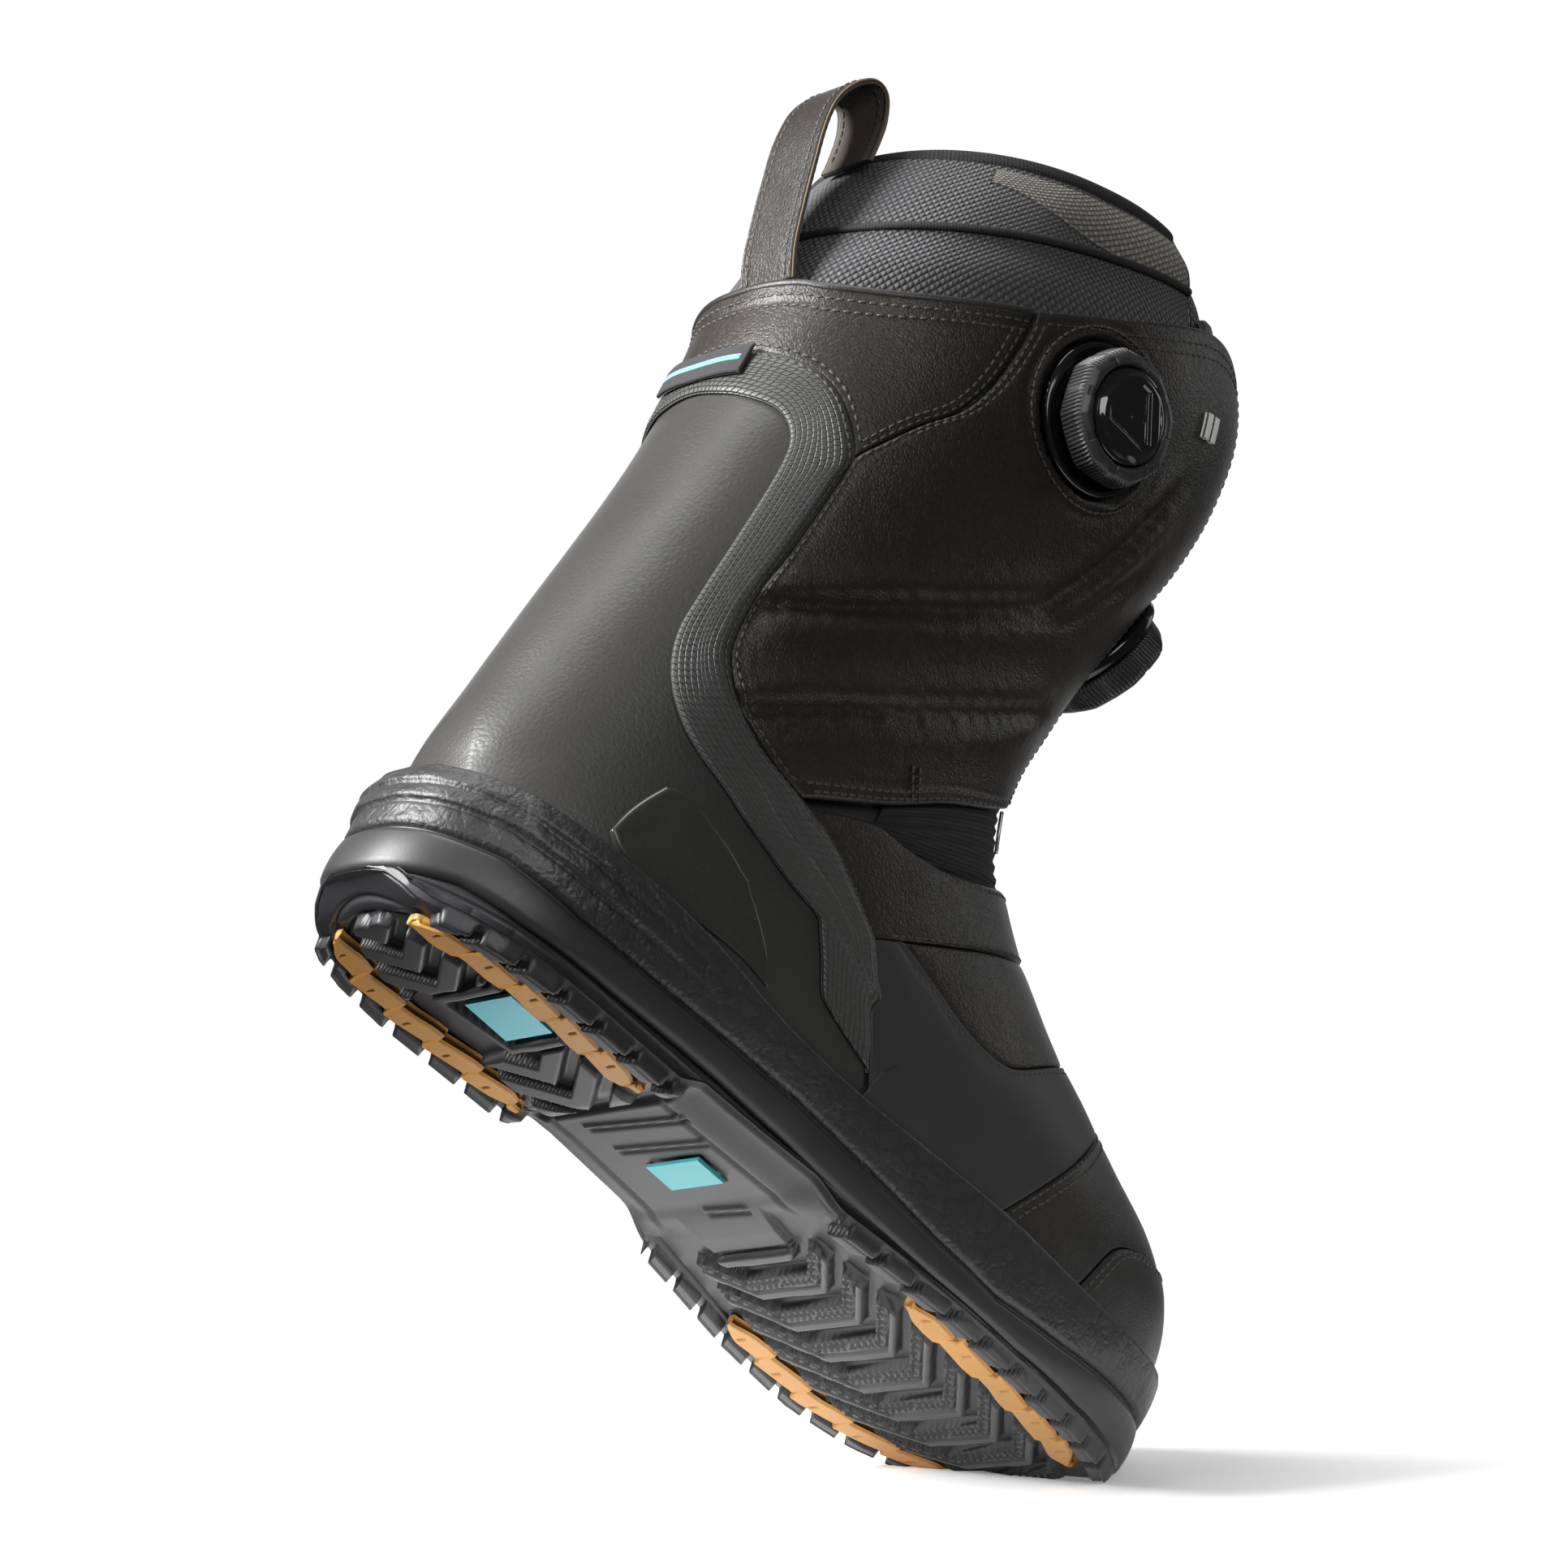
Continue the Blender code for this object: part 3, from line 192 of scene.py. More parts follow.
def coons(top, bottom, left, right, fine=41, power=1):
    t_, b_, l_, r_ = (resample(c, fine) for c in (top, bottom, left, right))
    s = np.linspace(0, 1, fine)[None, :, None]
    t = np.linspace(0, 1, fine)[:, None, None]
    bow_top = t_[None] - (1-s)*t_[0] - s*t_[-1]
    bow_bottom = b_[None] - (1-s)*b_[0] - s*b_[-1]
    return (1-s)*l_[:, None] + s*r_[:, None] + (1-t)**power*bow_top + t**power*bow_bottom



def mirror_line(points):
    return [(u, 1 - v) for u, v in points]


def over_front(points):
    """A lateral line that ends on the front ridge, carried on over it to the medial side (v < 0)."""
    return list(points) + [(u, -v) for u, v in points[-2::-1]]


def over_back(points):
    """A lateral line that ends on the back ridge, carried on to the medial side (v > 0.5)."""
    return list(points) + [(u, 1 - v) for u, v in points[-2::-1]]


def spring(x):
    """Toe spring of the walking surface."""
    return 14*max(0.0, (x - 215)/85)**2


def at(table, x, column):
    return float(np.interp(x, table[:, 0], table[:, column]))



def arch(x):
    """Height of the raised waist between heel and forefoot."""
    return 3.6*max(0.0, min(1.0, (x - 88)/12, (150 - x)/14)) if 88 < x < 150 else 0.0



# ---- meshes from arrays ------------------------------------------------------------------------------------------
def quads(rows, cols, wrap=False, first=0):
    i = np.arange(rows - 1)[:, None]
    j = np.arange(cols if wrap else cols - 1)[None]
    k = (j + 1) % cols
    i, j, k = np.broadcast_arrays(i, j, k)
    return first + np.stack([i*cols + j, i*cols + k, (i + 1)*cols + k, (i + 1)*cols + j], -1).reshape(-1, 4)


def signed_volume(points, faces):
    total = 0.0
    for f in faces:
        p = points[f]
        for k in range(1, f.shape[1] - 1):
            total += np.einsum("ij,ij->i", p[:, 0], np.cross(p[:, k], p[:, k + 1])).sum()
    return total


def build(name, points, faces, mats, uv=None, mat_index=None, flip=None, smooth=True, sharp=None, attributes=None):
    """Mesh object from points in millimetres and a list of (n, 3) or (n, 4) index arrays."""
    points = np.asarray(points, float).reshape(-1, 3)
    faces = [np.asarray(f, np.int64) for f in faces if len(f)]
    if flip is None:
        flip = signed_volume(points - points.mean(0), faces) < 0
    if flip:
        faces = [f[:, ::-1] for f in faces]
    mesh = bpy.data.meshes.new(name)
    loops = np.concatenate([f.reshape(-1) for f in faces])
    totals = np.concatenate([np.full(len(f), f.shape[1]) for f in faces])
    starts = np.concatenate([[0], np.cumsum(totals)[:-1]])
    mesh.vertices.add(len(points))
    mesh.vertices.foreach_set("co", world(points).astype(np.float32).reshape(-1))
    mesh.loops.add(len(loops))
    mesh.loops.foreach_set("vertex_index", loops.astype(np.int32))
    mesh.polygons.add(len(totals))
    mesh.polygons.foreach_set("loop_start", starts.astype(np.int32))
    mesh.polygons.foreach_set("loop_total", totals.astype(np.int32))
    mesh.polygons.foreach_set("use_smooth", np.full(len(totals), bool(smooth)))
    if uv is not None:
        layer = mesh.uv_layers.new(name="UVMap")
        layer.data.foreach_set("uv", (np.asarray(uv, float).reshape(-1, 2)*MM)[loops].astype(np.float32).reshape(-1))
    for key, values in (attributes or {}).items():
        layer = mesh.attributes.new(key, "FLOAT", "POINT")
        layer.data.foreach_set("value", np.asarray(values, np.float32).reshape(-1))
    for mat in (mats if isinstance(mats, (list, tuple)) else [mats]):
        mesh.materials.append(mat)
    if mat_index is not None:
        mesh.polygons.foreach_set("material_index", np.asarray(mat_index, np.int32))
    mesh.update(calc_edges=True)
    mesh.validate()
    if sharp:
        mesh.set_sharp_from_angle(angle=math.radians(sharp))
    obj = bpy.data.objects.new(name, mesh)
    bpy.context.scene.collection.objects.link(obj)
    return obj


def shell(name, outer, inner, mat, uv=None, wrap=False, cap_ends=True, **more):
    """Closed solid between two grids of points (rows, cols, 3) of the same size."""
    rows, cols = outer.shape[:2]
    n = rows*cols
    a = quads(rows, cols, wrap)
    b = quads(rows, cols, wrap, n)[:, ::-1]
    edge = []
    index = np.arange(n).reshape(rows, cols)
    if not wrap:
        edge += [index[:, 0], index[::-1, -1]]
    if cap_ends:
        edge += [index[0][::-1], index[-1]]
    sides = [np.stack([e[:-1], e[:-1] + n, e[1:] + n, e[1:]], -1) for e in edge]
    if wrap and cap_ends:
        sides += [np.array([[index[0, 0], index[0, 0] + n, index[0, -1] + n, index[0, -1]]]),
                  np.array([[index[-1, -1], index[-1, -1] + n, index[-1, 0] + n, index[-1, 0]]])]
    if uv is not None:
        uv = np.concatenate([np.asarray(uv).reshape(-1, 2)]*2)
    return build(name, np.concatenate([outer.reshape(-1, 3), inner.reshape(-1, 3)]), [a, b] + sides, mat, uv=uv, **more)


def smooth_line(points, step=1.0, closed=False):
    """Catmull-Rom curve through points in space, resampled at even steps."""
    p = np.asarray(points, float)
    ends = np.vstack([p[-1], p, p[:2]]) if closed else np.vstack([2*p[0] - p[1], p, 2*p[-1] - p[-2]])
    fine = []
    t = np.linspace(0, 1, 13)[:-1, None]
    for i in range(1, len(ends) - 2):
        a, b, c, d = ends[i - 1:i + 3]
        fine.append(.5*((2*b) + (c - a)*t + (2*a - 5*b + 4*c - d)*t*t + (3*b - a - 3*c + d)*t**3))
    fine = np.vstack(fine + [p[:1] if closed else p[-1:]])
    length = np.concatenate([[0], np.cumsum(np.linalg.norm(np.diff(fine, axis=0), axis=1))])
    count = max(3, int(round(length[-1]/step)) + 1)
    at_ = np.linspace(0, length[-1], count)
    out = np.stack([np.interp(at_, length, fine[:, k]) for k in range(fine.shape[1])], -1)
    return out[:-1] if closed else out


def metres_of(line):
    return np.concatenate([[0], np.cumsum(np.linalg.norm(np.diff(line, axis=0), axis=1))])


def uv_line(points, step=1.0):
    """A seam given in (u, v), as even steps on the last: returns (u, v) samples."""
    uv = resample(points, 400)
    p = last(uv[:, 0], uv[:, 1])
    length = metres_of(p)
    count = max(3, int(round(length[-1]/step)) + 1)
    s = np.linspace(0, length[-1], count)
    return np.stack([np.interp(s, length, uv[:, k]) for k in (0, 1)], -1)


def distance(points, line, reach=12.0):
    """Distance of each point to a polyline, and the share of its length there; far ones get reach."""
    flat = np.asarray(points, float).reshape(-1, 3)
    line = np.asarray(line, float)
    near = ((flat > line.min(0) - reach) & (flat < line.max(0) + reach)).all(1)
    out = np.full(len(flat), reach)
    share = np.zeros(len(flat))
    ids = np.nonzero(near)[0]
    a, d = line[:-1], np.diff(line, axis=0)
    dd = np.maximum((d*d).sum(1), 1e-9)
    for k in range(0, len(ids), 3000):
        part = ids[k:k + 3000]
        rel = flat[part][:, None] - a[None]
        t = np.clip((rel*d[None]).sum(2)/dd[None], 0, 1)
        dist = np.linalg.norm(rel - t[..., None]*d[None], axis=2)
        best = dist.argmin(1)
        out[part] = np.minimum(reach, dist[np.arange(len(part)), best])
        share[part] = (best + t[np.arange(len(part)), best])/len(a)
    shape = np.asarray(points).shape[:-1]
    return out.reshape(shape), share.reshape(shape)


def wobble(points, size, seed, octaves=2):
    """Smooth irregularity in -1..1, about size millimetres across."""
    rng = np.random.default_rng(seed)
    out = np.zeros(np.asarray(points).shape[:-1])
    for o in range(octaves):
        for _ in range(5):
            k = rng.normal(size=3)
            k /= np.linalg.norm(k)
            out += np.sin(np.asarray(points) @ (k*2*np.pi/(size/2**o*rng.uniform(.75, 1.3))) + rng.uniform(0, 6.3))/(2**o)
    return out/(5*1.2)


def smoothstep(x, a, b):
    t = np.clip((np.asarray(x, float) - a)/(b - a), 0, 1)
    return t*t*(3 - 2*t)


# ---- panels on the last ---------------------------------------------------------------------------------------------
class Panel:
    """A piece of the upper laid on the last. s runs across and t down, in millimetres from its corner."""

    def __init__(self, uv, outer, gap=.25, roll=1.0, puff=.45, lift=None):
        self.uv, self.outer, self.gap, self.roll, self.puff, self.extra = uv, outer, gap, roll, puff, lift
        p = last(uv[..., 0], uv[..., 1])
        self.across = np.linalg.norm(np.diff(p, axis=1), axis=2).sum(1)
        self.down = np.linalg.norm(np.diff(p, axis=0), axis=2).sum(0)
        self.A, self.D = float(self.across.mean()), float(self.down.mean())
        self.n, self.m = uv.shape[0] - 1, uv.shape[1] - 1

    def place(self, s, t):
        """(u, v) and local lengths at shares s, t of the panel."""
        a, b = np.clip(t*self.n, 0, self.n - 1e-9), np.clip(s*self.m, 0, self.m - 1e-9)
        ia, ib = a.astype(int), b.astype(int)
        a, b = (a - ia)[..., None], (b - ib)[..., None]
        uv = self.uv
        return (1-a)*(1-b)*uv[ia, ib] + (1-a)*b*uv[ia, ib+1] + a*(1-b)*uv[ia+1, ib] + a*b*uv[ia+1, ib+1]

    def shares(self, sm, tm):
        """Millimetres from the near sides to shares, and the panel's local lengths there."""
        sm, tm = np.broadcast_arrays(np.asarray(sm, float), np.asarray(tm, float))
        s, t = sm/self.A, tm/self.D
        across = np.interp(np.clip(t, 0, 1)*self.n, np.arange(self.n + 1), self.across)
        down = np.interp(np.clip(s, 0, 1)*self.m, np.arange(self.m + 1), self.down)
        return s, t, across, down

    def edges(self, s, t, across, down):
        return s*across, (1 - s)*across, t*down, (1 - t)*down

    def height(self, s, t, across, down, uv):
        dl, dr, dt, db = self.edges(s, t, across, down)
        d = np.minimum(np.minimum(dl, dr), np.minimum(dt, db))
        x = np.clip(1 - (d - self.gap)/self.roll, 0, 1)
        h = -self.roll*(1 - np.sqrt(np.maximum(0, 1 - x*x)))
        h = h + self.puff*(1 - np.exp(-d/5.0))
        if self.extra is not None:
            h = h + self.extra(dict(dl=dl, dr=dr, dt=dt, db=db, d=d, s=s, t=t, uv=uv, P=last(uv[..., 0], uv[..., 1])))
        return self.outer + h

    def grid(self, step):
        rim = np.array([0, .1, .35, .75]) + self.gap

        def spread(total):
            inner = np.linspace(self.gap + 1.3, total - self.gap - 1.3, max(3, int((total - 2*self.gap - 2.6)/step) + 1))
            return np.concatenate([rim, inner, (total - rim)[::-1]])
        sm, tm = np.meshgrid(spread(self.A), spread(self.D))
        s, t, across, down = self.shares(sm, tm)
        # the margin keeps its width where the panel is wider or narrower than its mean
        s = np.where(sm < self.A/2, np.minimum(sm/across, .5), 1 - np.minimum((self.A - sm)/across, .5)) * .35 + s*.65
        t = np.where(tm < self.D/2, np.minimum(tm/down, .5), 1 - np.minimum((self.D - tm)/down, .5)) * .35 + t*.65
        uv = self.place(s, t)
        return uv, self.height(s, t, across, down, uv), np.stack([sm, tm], -1)

    def make(self, name, mat, step=1.3, thick=1.6):
        uv, height, st = self.grid(step*FINE)
        normal = outward(uv[..., 0], uv[..., 1])
        base = last(uv[..., 0], uv[..., 1])
        outer = base + height[..., None]*normal
        inner = base + (np.minimum(height - .3, self.outer - thick))[..., None]*normal
        self.obj = shell(name, outer, inner, mat, uv=st)
        return self.obj

    def point(self, s, t):
        """Point and normal on the finished surface at shares s, t."""
        across = np.interp(t*self.n, np.arange(self.n + 1), self.across)
        down = np.interp(s*self.m, np.arange(self.m + 1), self.down)
        uv = self.place(s, t)
        h = self.height(s, t, across, down, uv)
        normal = outward(uv[..., 0], uv[..., 1])
        return last(uv[..., 0], uv[..., 1]) + h[..., None]*normal, normal

    def run(self, side, inset, start=0.0, stop=1.0, count=400):
        """A line that keeps inset millimetres from one side, as points and normals."""
        k = np.linspace(start, stop, count)
        if side in ("top", "bottom"):
            down = np.interp(k*self.m, np.arange(self.m + 1), self.down)
            s, t = k, inset/down if side == "top" else 1 - inset/down
        else:
            across = np.interp(k*self.n, np.arange(self.n + 1), self.across)
            t, s = k, inset/across if side == "left" else 1 - inset/across
        return self.point(s, t)


# ---- stitches ---------------------------------------------------------------------------------------------------------
THREADS = {}


def stitch(group, line, normal, pitch=3.1, length=2.35, radius=.46, sink=.18, start=1.0, stop=1.0):
    """Rows of thread along a line on a surface; kept until sew() makes one mesh of each group."""
    total = metres_of(line)
    count = int((total[-1] - start - stop)/pitch)
    if count < 1:
        return
    centre = start + (np.arange(count) + .5)*pitch
    c, e0, e1 = (np.stack([np.interp(centre + o, total, line[:, k]) for k in range(3)], -1) for o in (0, -length/2, length/2))
    n = np.stack([np.interp(centre, total, normal[:, k]) for k in range(3)], -1)
    n /= np.linalg.norm(n, axis=1)[:, None]
    tangent = e1 - e0
    tangent /= np.linalg.norm(tangent, axis=1)[:, None]
    side = np.cross(n, tangent)
    profile = np.array([(-.5, .25, -.45), (-.44, .8, -.12), (-.22, 1, .05), (.22, 1, .05), (.44, .8, -.12), (.5, .25, -.45)])
    rings = []
    for k, r, h in profile:
        for a in np.arange(6)*math.pi/3:
            rings.append(c + tangent*(k*length) + n*(h*.6 - sink + .12 + radius*r*math.sin(a)*.8) + side*(radius*r*math.cos(a)))
    THREADS.setdefault(group, []).append(np.stack(rings, 1))      # (count, 36, 3)


def sew(group, name, mat):
    sets = np.concatenate(THREADS.pop(group))
    one = quads(6, 6, True)
    caps = np.array([[0, 3, 2, 1], [0, 5, 4, 3], [30, 31, 32, 33], [30, 33, 34, 35]])
    one = np.concatenate([one, caps])
    faces = (one[None] + (np.arange(len(sets))*36)[:, None, None]).reshape(-1, 4)
    return build(name, sets.reshape(-1, 3), [faces], mat)


def tube(name, line, radius, mat, sides=12, squash=1.0, normal=None, closed=False, join=None):
    """Round or flattened cord along a line, with closed ends."""
    tangent = np.gradient(line, axis=0) if not closed else np.roll(line, -1, 0) - np.roll(line, 1, 0)
    tangent /= np.linalg.norm(tangent, axis=1)[:, None]
    if normal is None:
        normal = np.tile([0.0, 0.0, 1.0], (len(line), 1))
    n = normal - (normal*tangent).sum(1)[:, None]*tangent
    n /= np.maximum(np.linalg.norm(n, axis=1), 1e-6)[:, None]
    b = np.cross(tangent, n)
    r = np.broadcast_to(np.asarray(radius, float), (len(line),))
    a = np.linspace(0, 2*np.pi, sides, endpoint=False)
    ring = line[:, None] + r[:, None, None]*(np.cos(a)[None, :, None]*n[:, None]*squash + np.sin(a)[None, :, None]*b[:, None])
    pts = ring.reshape(-1, 3)
    faces = [quads(len(line), sides, True)]
    if closed:
        k = (len(line) - 1)*sides
        j = np.arange(sides)
        faces.append(np.stack([k + j, k + (j + 1) % sides, (j + 1) % sides, j], -1))
    else:
        pts = np.vstack([pts, line[:1] - tangent[:1]*r[0]*.4, line[-1:] + tangent[-1:]*r[-1]*.4])
        j = np.arange(sides)
        k = (len(line) - 1)*sides
        faces.append(np.stack([(j + 1) % sides, j, np.full(sides, len(pts) - 2)], -1))
        faces.append(np.stack([k + j, k + (j + 1) % sides, np.full(sides, len(pts) - 1)], -1))
    total = metres_of(line)
    uv = np.stack(np.meshgrid(total, a*r.mean(), indexing="ij"), -1).reshape(-1, 2)
    if not closed:
        uv = np.vstack([uv, [[0, 0], [total[-1], 0]]])
    if join is not None:
        join.append((pts, faces))
        return None
    return build(name, pts, faces, mat, uv=uv)


def tri_wave(x, period):
    f = np.mod(x/period, 1.0)
    return np.abs(2*f - 1)


def bars(x, period, share, soft=.35):
    """1 on a lug, 0 between: lugs take share of each period of x."""
    f = np.mod(x/period, 1.0)*period
    return smoothstep(f, 0, soft*2)*(1 - smoothstep(f, share*period - soft, share*period + soft))


def band_mask(e, a, b, soft=.35):
    return smoothstep(e, a - soft, a + soft)*(1 - smoothstep(e, b - soft, b + soft))



# ---- materials --------------------------------------------------------------------------------------------------------
class Mat:
    """A small wrapper that adds nodes and links in one call."""

    def __init__(self, name):
        self.mat = bpy.data.materials.new(name)
        self.mat.use_nodes = True
        self.tree = self.mat.node_tree
        self.bsdf = self.tree.nodes["Principled BSDF"]
        self.coords = self.node("ShaderNodeTexCoord")

    def put(self, socket, value):
        if isinstance(value, bpy.types.NodeSocket):
            self.tree.links.new(value, socket)
        elif isinstance(value, (tuple, list)) and len(value) == 3 and socket.type == "RGBA":
            socket.default_value = (*value, 1)
        else:
            socket.default_value = value

    def node(self, kind, out=0, props=None, **inputs):
        n = self.tree.nodes.new(kind)
        for key, value in (props or {}).items():
            setattr(n, key, value)
        for key, value in inputs.items():
            self.put(n.inputs[int(key[1:]) if key[0] == "i" and key[1:].isdigit() else key.replace("_", " ")], value)
        return n if out is None or kind == "ShaderNodeTexCoord" else n.outputs[out]

    def math(self, op, a, b=0.0, c=0.0, clamp=False):
        return self.node("ShaderNodeMath", props={"operation": op, "use_clamp": clamp}, i0=a, i1=b, i2=c)

    def remap(self, value, a, b, c=0.0, d=1.0):
        return self.node("ShaderNodeMapRange", Value=value, From_Min=a, From_Max=b, To_Min=c, To_Max=d)

    def mix(self, fac, a, b):
        n = self.tree.nodes.new("ShaderNodeMix")
        n.data_type = "RGBA"
        self.put(n.inputs[0], fac)
        self.put(n.inputs[6], a)
        self.put(n.inputs[7], b)
        return n.outputs[2]

    def noise(self, scale, detail=3.0, rough=.55, where=None, distortion=0.0):
        return self.node("ShaderNodeTexNoise", Vector=where or self.coords.outputs["Object"], Scale=scale, Detail=detail,
                         Roughness=rough, Distortion=distortion)

    def voronoi(self, scale, feature="F1", where=None, rand=1.0, out=0):
        return self.node("ShaderNodeTexVoronoi", out, {"feature": feature}, Vector=where or self.coords.outputs["Object"], Scale=scale,
                         Randomness=rand)

    def bump(self, height, strength, dist, normal=None):
        n = self.tree.nodes.new("ShaderNodeBump")
        n.inputs["Strength"].default_value = strength
        n.inputs["Distance"].default_value = dist*MM
        self.put(n.inputs["Height"], height)
        if normal is not None:
            self.put(n.inputs["Normal"], normal)
        return n.outputs[0]

    def done(self, colour, rough, normal=None, metallic=0.0, **sockets):
        self.put(self.bsdf.inputs["Base Color"], colour)
        self.put(self.bsdf.inputs["Roughness"], rough)
        self.put(self.bsdf.inputs["Metallic"], metallic)
        if normal is not None:
            self.put(self.bsdf.inputs["Normal"], normal)
        for key, value in sockets.items():
            self.put(self.bsdf.inputs[key.replace("_", " ")], value)
        self.mat.diffuse_color = (.1, .1, .1, 1)
        return self.mat

    def uv(self):
        """UV as (x, y) in millimetres."""
        sep = self.node("ShaderNodeSeparateXYZ", None, Vector=self.coords.outputs["UV"])
        return self.math("MULTIPLY", sep.outputs[0], 1000.0), self.math("MULTIPLY", sep.outputs[1], 1000.0)


def leather(name, colour, rough=.42, cell=1.15, depth=.55, warm=(.0, .0, .0), specular=.5, crease=.5):
    """Grained synthetic leather: polygonal grain of about cell mm, with painted shade darkening the colour in the
    grain's creases.
    """
    m = Mat(name)
    big = m.noise(28, 4, .6)
    warp = m.node("ShaderNodeVectorMath", props={"operation": "MULTIPLY_ADD"}, i0=m.node("ShaderNodeTexNoise", 1, Vector=m.coords.outputs["Object"], Scale=420.0, Detail=2.0),
                  i1=(.0011, .0011, .0011), i2=m.coords.outputs["Object"])
    grain = m.voronoi(1000/cell, "DISTANCE_TO_EDGE", warp)
    grain2 = m.voronoi(1000/(cell*2.6), "DISTANCE_TO_EDGE", warp)
    fine = m.noise(2600, 3, .6)
    g = m.remap(grain, 0.0, .28)
    g2 = m.remap(grain2, 0.0, .16)
    height = m.math("ADD", m.math("MULTIPLY", g, .7), m.math("MULTIPLY", fine, .35))
    height = m.math("ADD", height, m.math("MULTIPLY", g2, crease))
    patch = m.remap(big, .35, .68)
    lo = tuple(c*.72 for c in colour)
    hi = tuple(c*1.22 + w for c, w in zip(colour, warm))
    base = m.mix(patch, lo, hi)
    # painted shade: the colour is darker towards the creases of the coarser grain
    base = m.mix(m.math("MULTIPLY", m.math("SUBTRACT", 1.0, g2), .35), base, tuple(c*.45 for c in colour))
    r = m.math("ADD", m.math("MULTIPLY", m.math("SUBTRACT", fine, .5), .22), m.math("ADD", m.math("MULTIPLY", patch, -.07), rough + .03))
    return m.done(base, r, m.bump(height, depth, .16), Specular_IOR_Level=specular)


def pebble(name, colour, rough, scale=1500, depth=.5, dist=.12, specular=.5, vary=.12):
    m = Mat(name)
    cells = m.voronoi(scale, "SMOOTH_F1")
    fine = m.noise(scale*1.6, 2)
    big = m.noise(22, 3)
    height = m.math("ADD", m.math("MULTIPLY", cells, -1.0), m.math("MULTIPLY", fine, .5))
    base = m.mix(m.remap(big, .35, .65), tuple(c*(1 - vary) for c in colour), tuple(c*(1 + vary) for c in colour))
    r = m.math("ADD", m.math("MULTIPLY", m.math("SUBTRACT", fine, .5), .2), rough)
    return m.done(base, r, m.bump(height, depth, dist), Specular_IOR_Level=specular)


def weave(name, dark, light, pitch, rough=.8, depth=.8, angle=0.0, skew=1.0, sheen=.15):
    """Knit or woven cloth in the piece's own UV: two crossing yarn directions of pitch mm."""
    m = Mat(name)
    x, y = m.uv()
    c, s = math.cos(angle), math.sin(angle)
    a = m.math("ADD", m.math("MULTIPLY", x, c/pitch), m.math("MULTIPLY", y, s/pitch))
    b = m.math("ADD", m.math("MULTIPLY", x, -s/pitch*skew), m.math("MULTIPLY", y, c/pitch*skew))
    wa = m.math("ABSOLUTE", m.math("SINE", m.math("MULTIPLY", a, math.pi)))
    wb = m.math("ABSOLUTE", m.math("SINE", m.math("MULTIPLY", b, math.pi)))
    over = m.math("MULTIPLY", m.math("SINE", m.math("MULTIPLY", a, math.pi)), m.math("SINE", m.math("MULTIPLY", b, math.pi)))
    bead = m.math("MULTIPLY", m.math("POWER", wa, .6), m.math("POWER", wb, .6))
    yarn = m.noise(2200, 2)
    height = m.math("ADD", bead, m.math("MULTIPLY", yarn, .25))
    tone = m.math("MULTIPLY", bead, m.remap(over, -1.0, 1.0, .55, 1.0))
    big = m.noise(40, 2)
    base = m.mix(m.math("MULTIPLY", tone, m.remap(big, .3, .7, .8, 1.0)), dark, light)
    return m.done(base, rough, m.bump(height, depth, pitch*.35), Sheen_Weight=sheen, Specular_IOR_Level=.3)


def ribs(name, dark, light, pitch, rough=.75, along="y", depth=1.0, dist=.4, second=0.0):
    m = Mat(name)
    x, y = m.uv()
    a, b = (y, x) if along == "y" else (x, y)
    wave = m.math("ABSOLUTE", m.math("SINE", m.math("MULTIPLY", a, math.pi/pitch)))
    cross = m.math("ABSOLUTE", m.math("SINE", m.math("MULTIPLY", b, math.pi/(second or pitch*.6))))
    yarn = m.noise(2400, 2)
    height = m.math("ADD", m.math("POWER", wave, .6), m.math("MULTIPLY", m.math("ADD", cross, yarn), .22))
    # painted shade: the colour darkens in the valleys between the ribs
    base = m.mix(m.math("MULTIPLY", wave, m.math("ADD", .6, m.math("MULTIPLY", cross, .4))), dark, light)
    return m.done(base, rough, m.bump(height, depth, dist), Specular_IOR_Level=.35)


def plastic(name, colour, rough, specular=.5, wear=.05, coat=0.0, grain=0.0, metallic=0.0):
    m = Mat(name)
    n = m.noise(60, 4)
    fine = m.noise(3000, 2)
    r = m.math("ADD", rough, m.math("MULTIPLY", m.math("SUBTRACT", n, .5), wear*2))
    base = m.mix(n, tuple(c*.88 for c in colour), tuple(min(1, c*1.1) for c in colour))
    return m.done(base, r, m.bump(fine, .12 + grain, .03), metallic=metallic, Specular_IOR_Level=specular, Coat_Weight=coat)


M_LEATHER = leather("leather_warm", (.0165, .0138, .0112), .42, warm=(.003, .002, .001), specular=.38)
M_EDGE = leather("leather_edge", (.014, .0125, .0115), .45, cell=.9, depth=.3, crease=.1)
M_COUNTER = pebble("counter_grain", (.033, .032, .0305), .37, 1000, .5, .14, vary=.08)
M_POLISHED = pebble("ankle_polish", (.034, .0335, .0315), .24, 700, .015, .02)
M_QUARTER = pebble("quarter_textile", (.0225, .022, .0215), .52, 2600, .3, .05)
M_VAMP = leather("vamp_leather", (.0165, .0152, .014), .47, cell=.95, depth=.4, crease=.3, warm=(.002, .001, 0))
M_EVA = leather("eva_skin", (.0205, .0205, .021), .44, cell=2.1, depth=.55, crease=.9)
M_EVA_PLAIN = pebble("eva_plain", (.0185, .0185, .019), .46, 1800, .22, .06)
M_RUBBER = pebble("outsole_rubber", (.0120, .0122, .0142), .46, 1900, .22, .05)
M_RUBBER_LIGHT = pebble("outsole_rubber_light", (.034, .034, .040), .5, 1900, .3, .06)
M_GUM = pebble("gum_rubber", (.40, .185, .030), .5, 1200, .35, .08, vary=.1)
M_THREAD = pebble("thread", (.034, .032, .029), .5, 4200, .6, .06)
M_BINDING = ribs("binding_tape", (.006, .006, .0065), (.020, .020, .022), 1.1, .8, along="x", depth=.6, dist=.2)
M_PIPING = ribs("piping_tape", (.006, .006, .006), (.017, .017, .017), .9, .7, along="x", depth=.5, dist=.15)
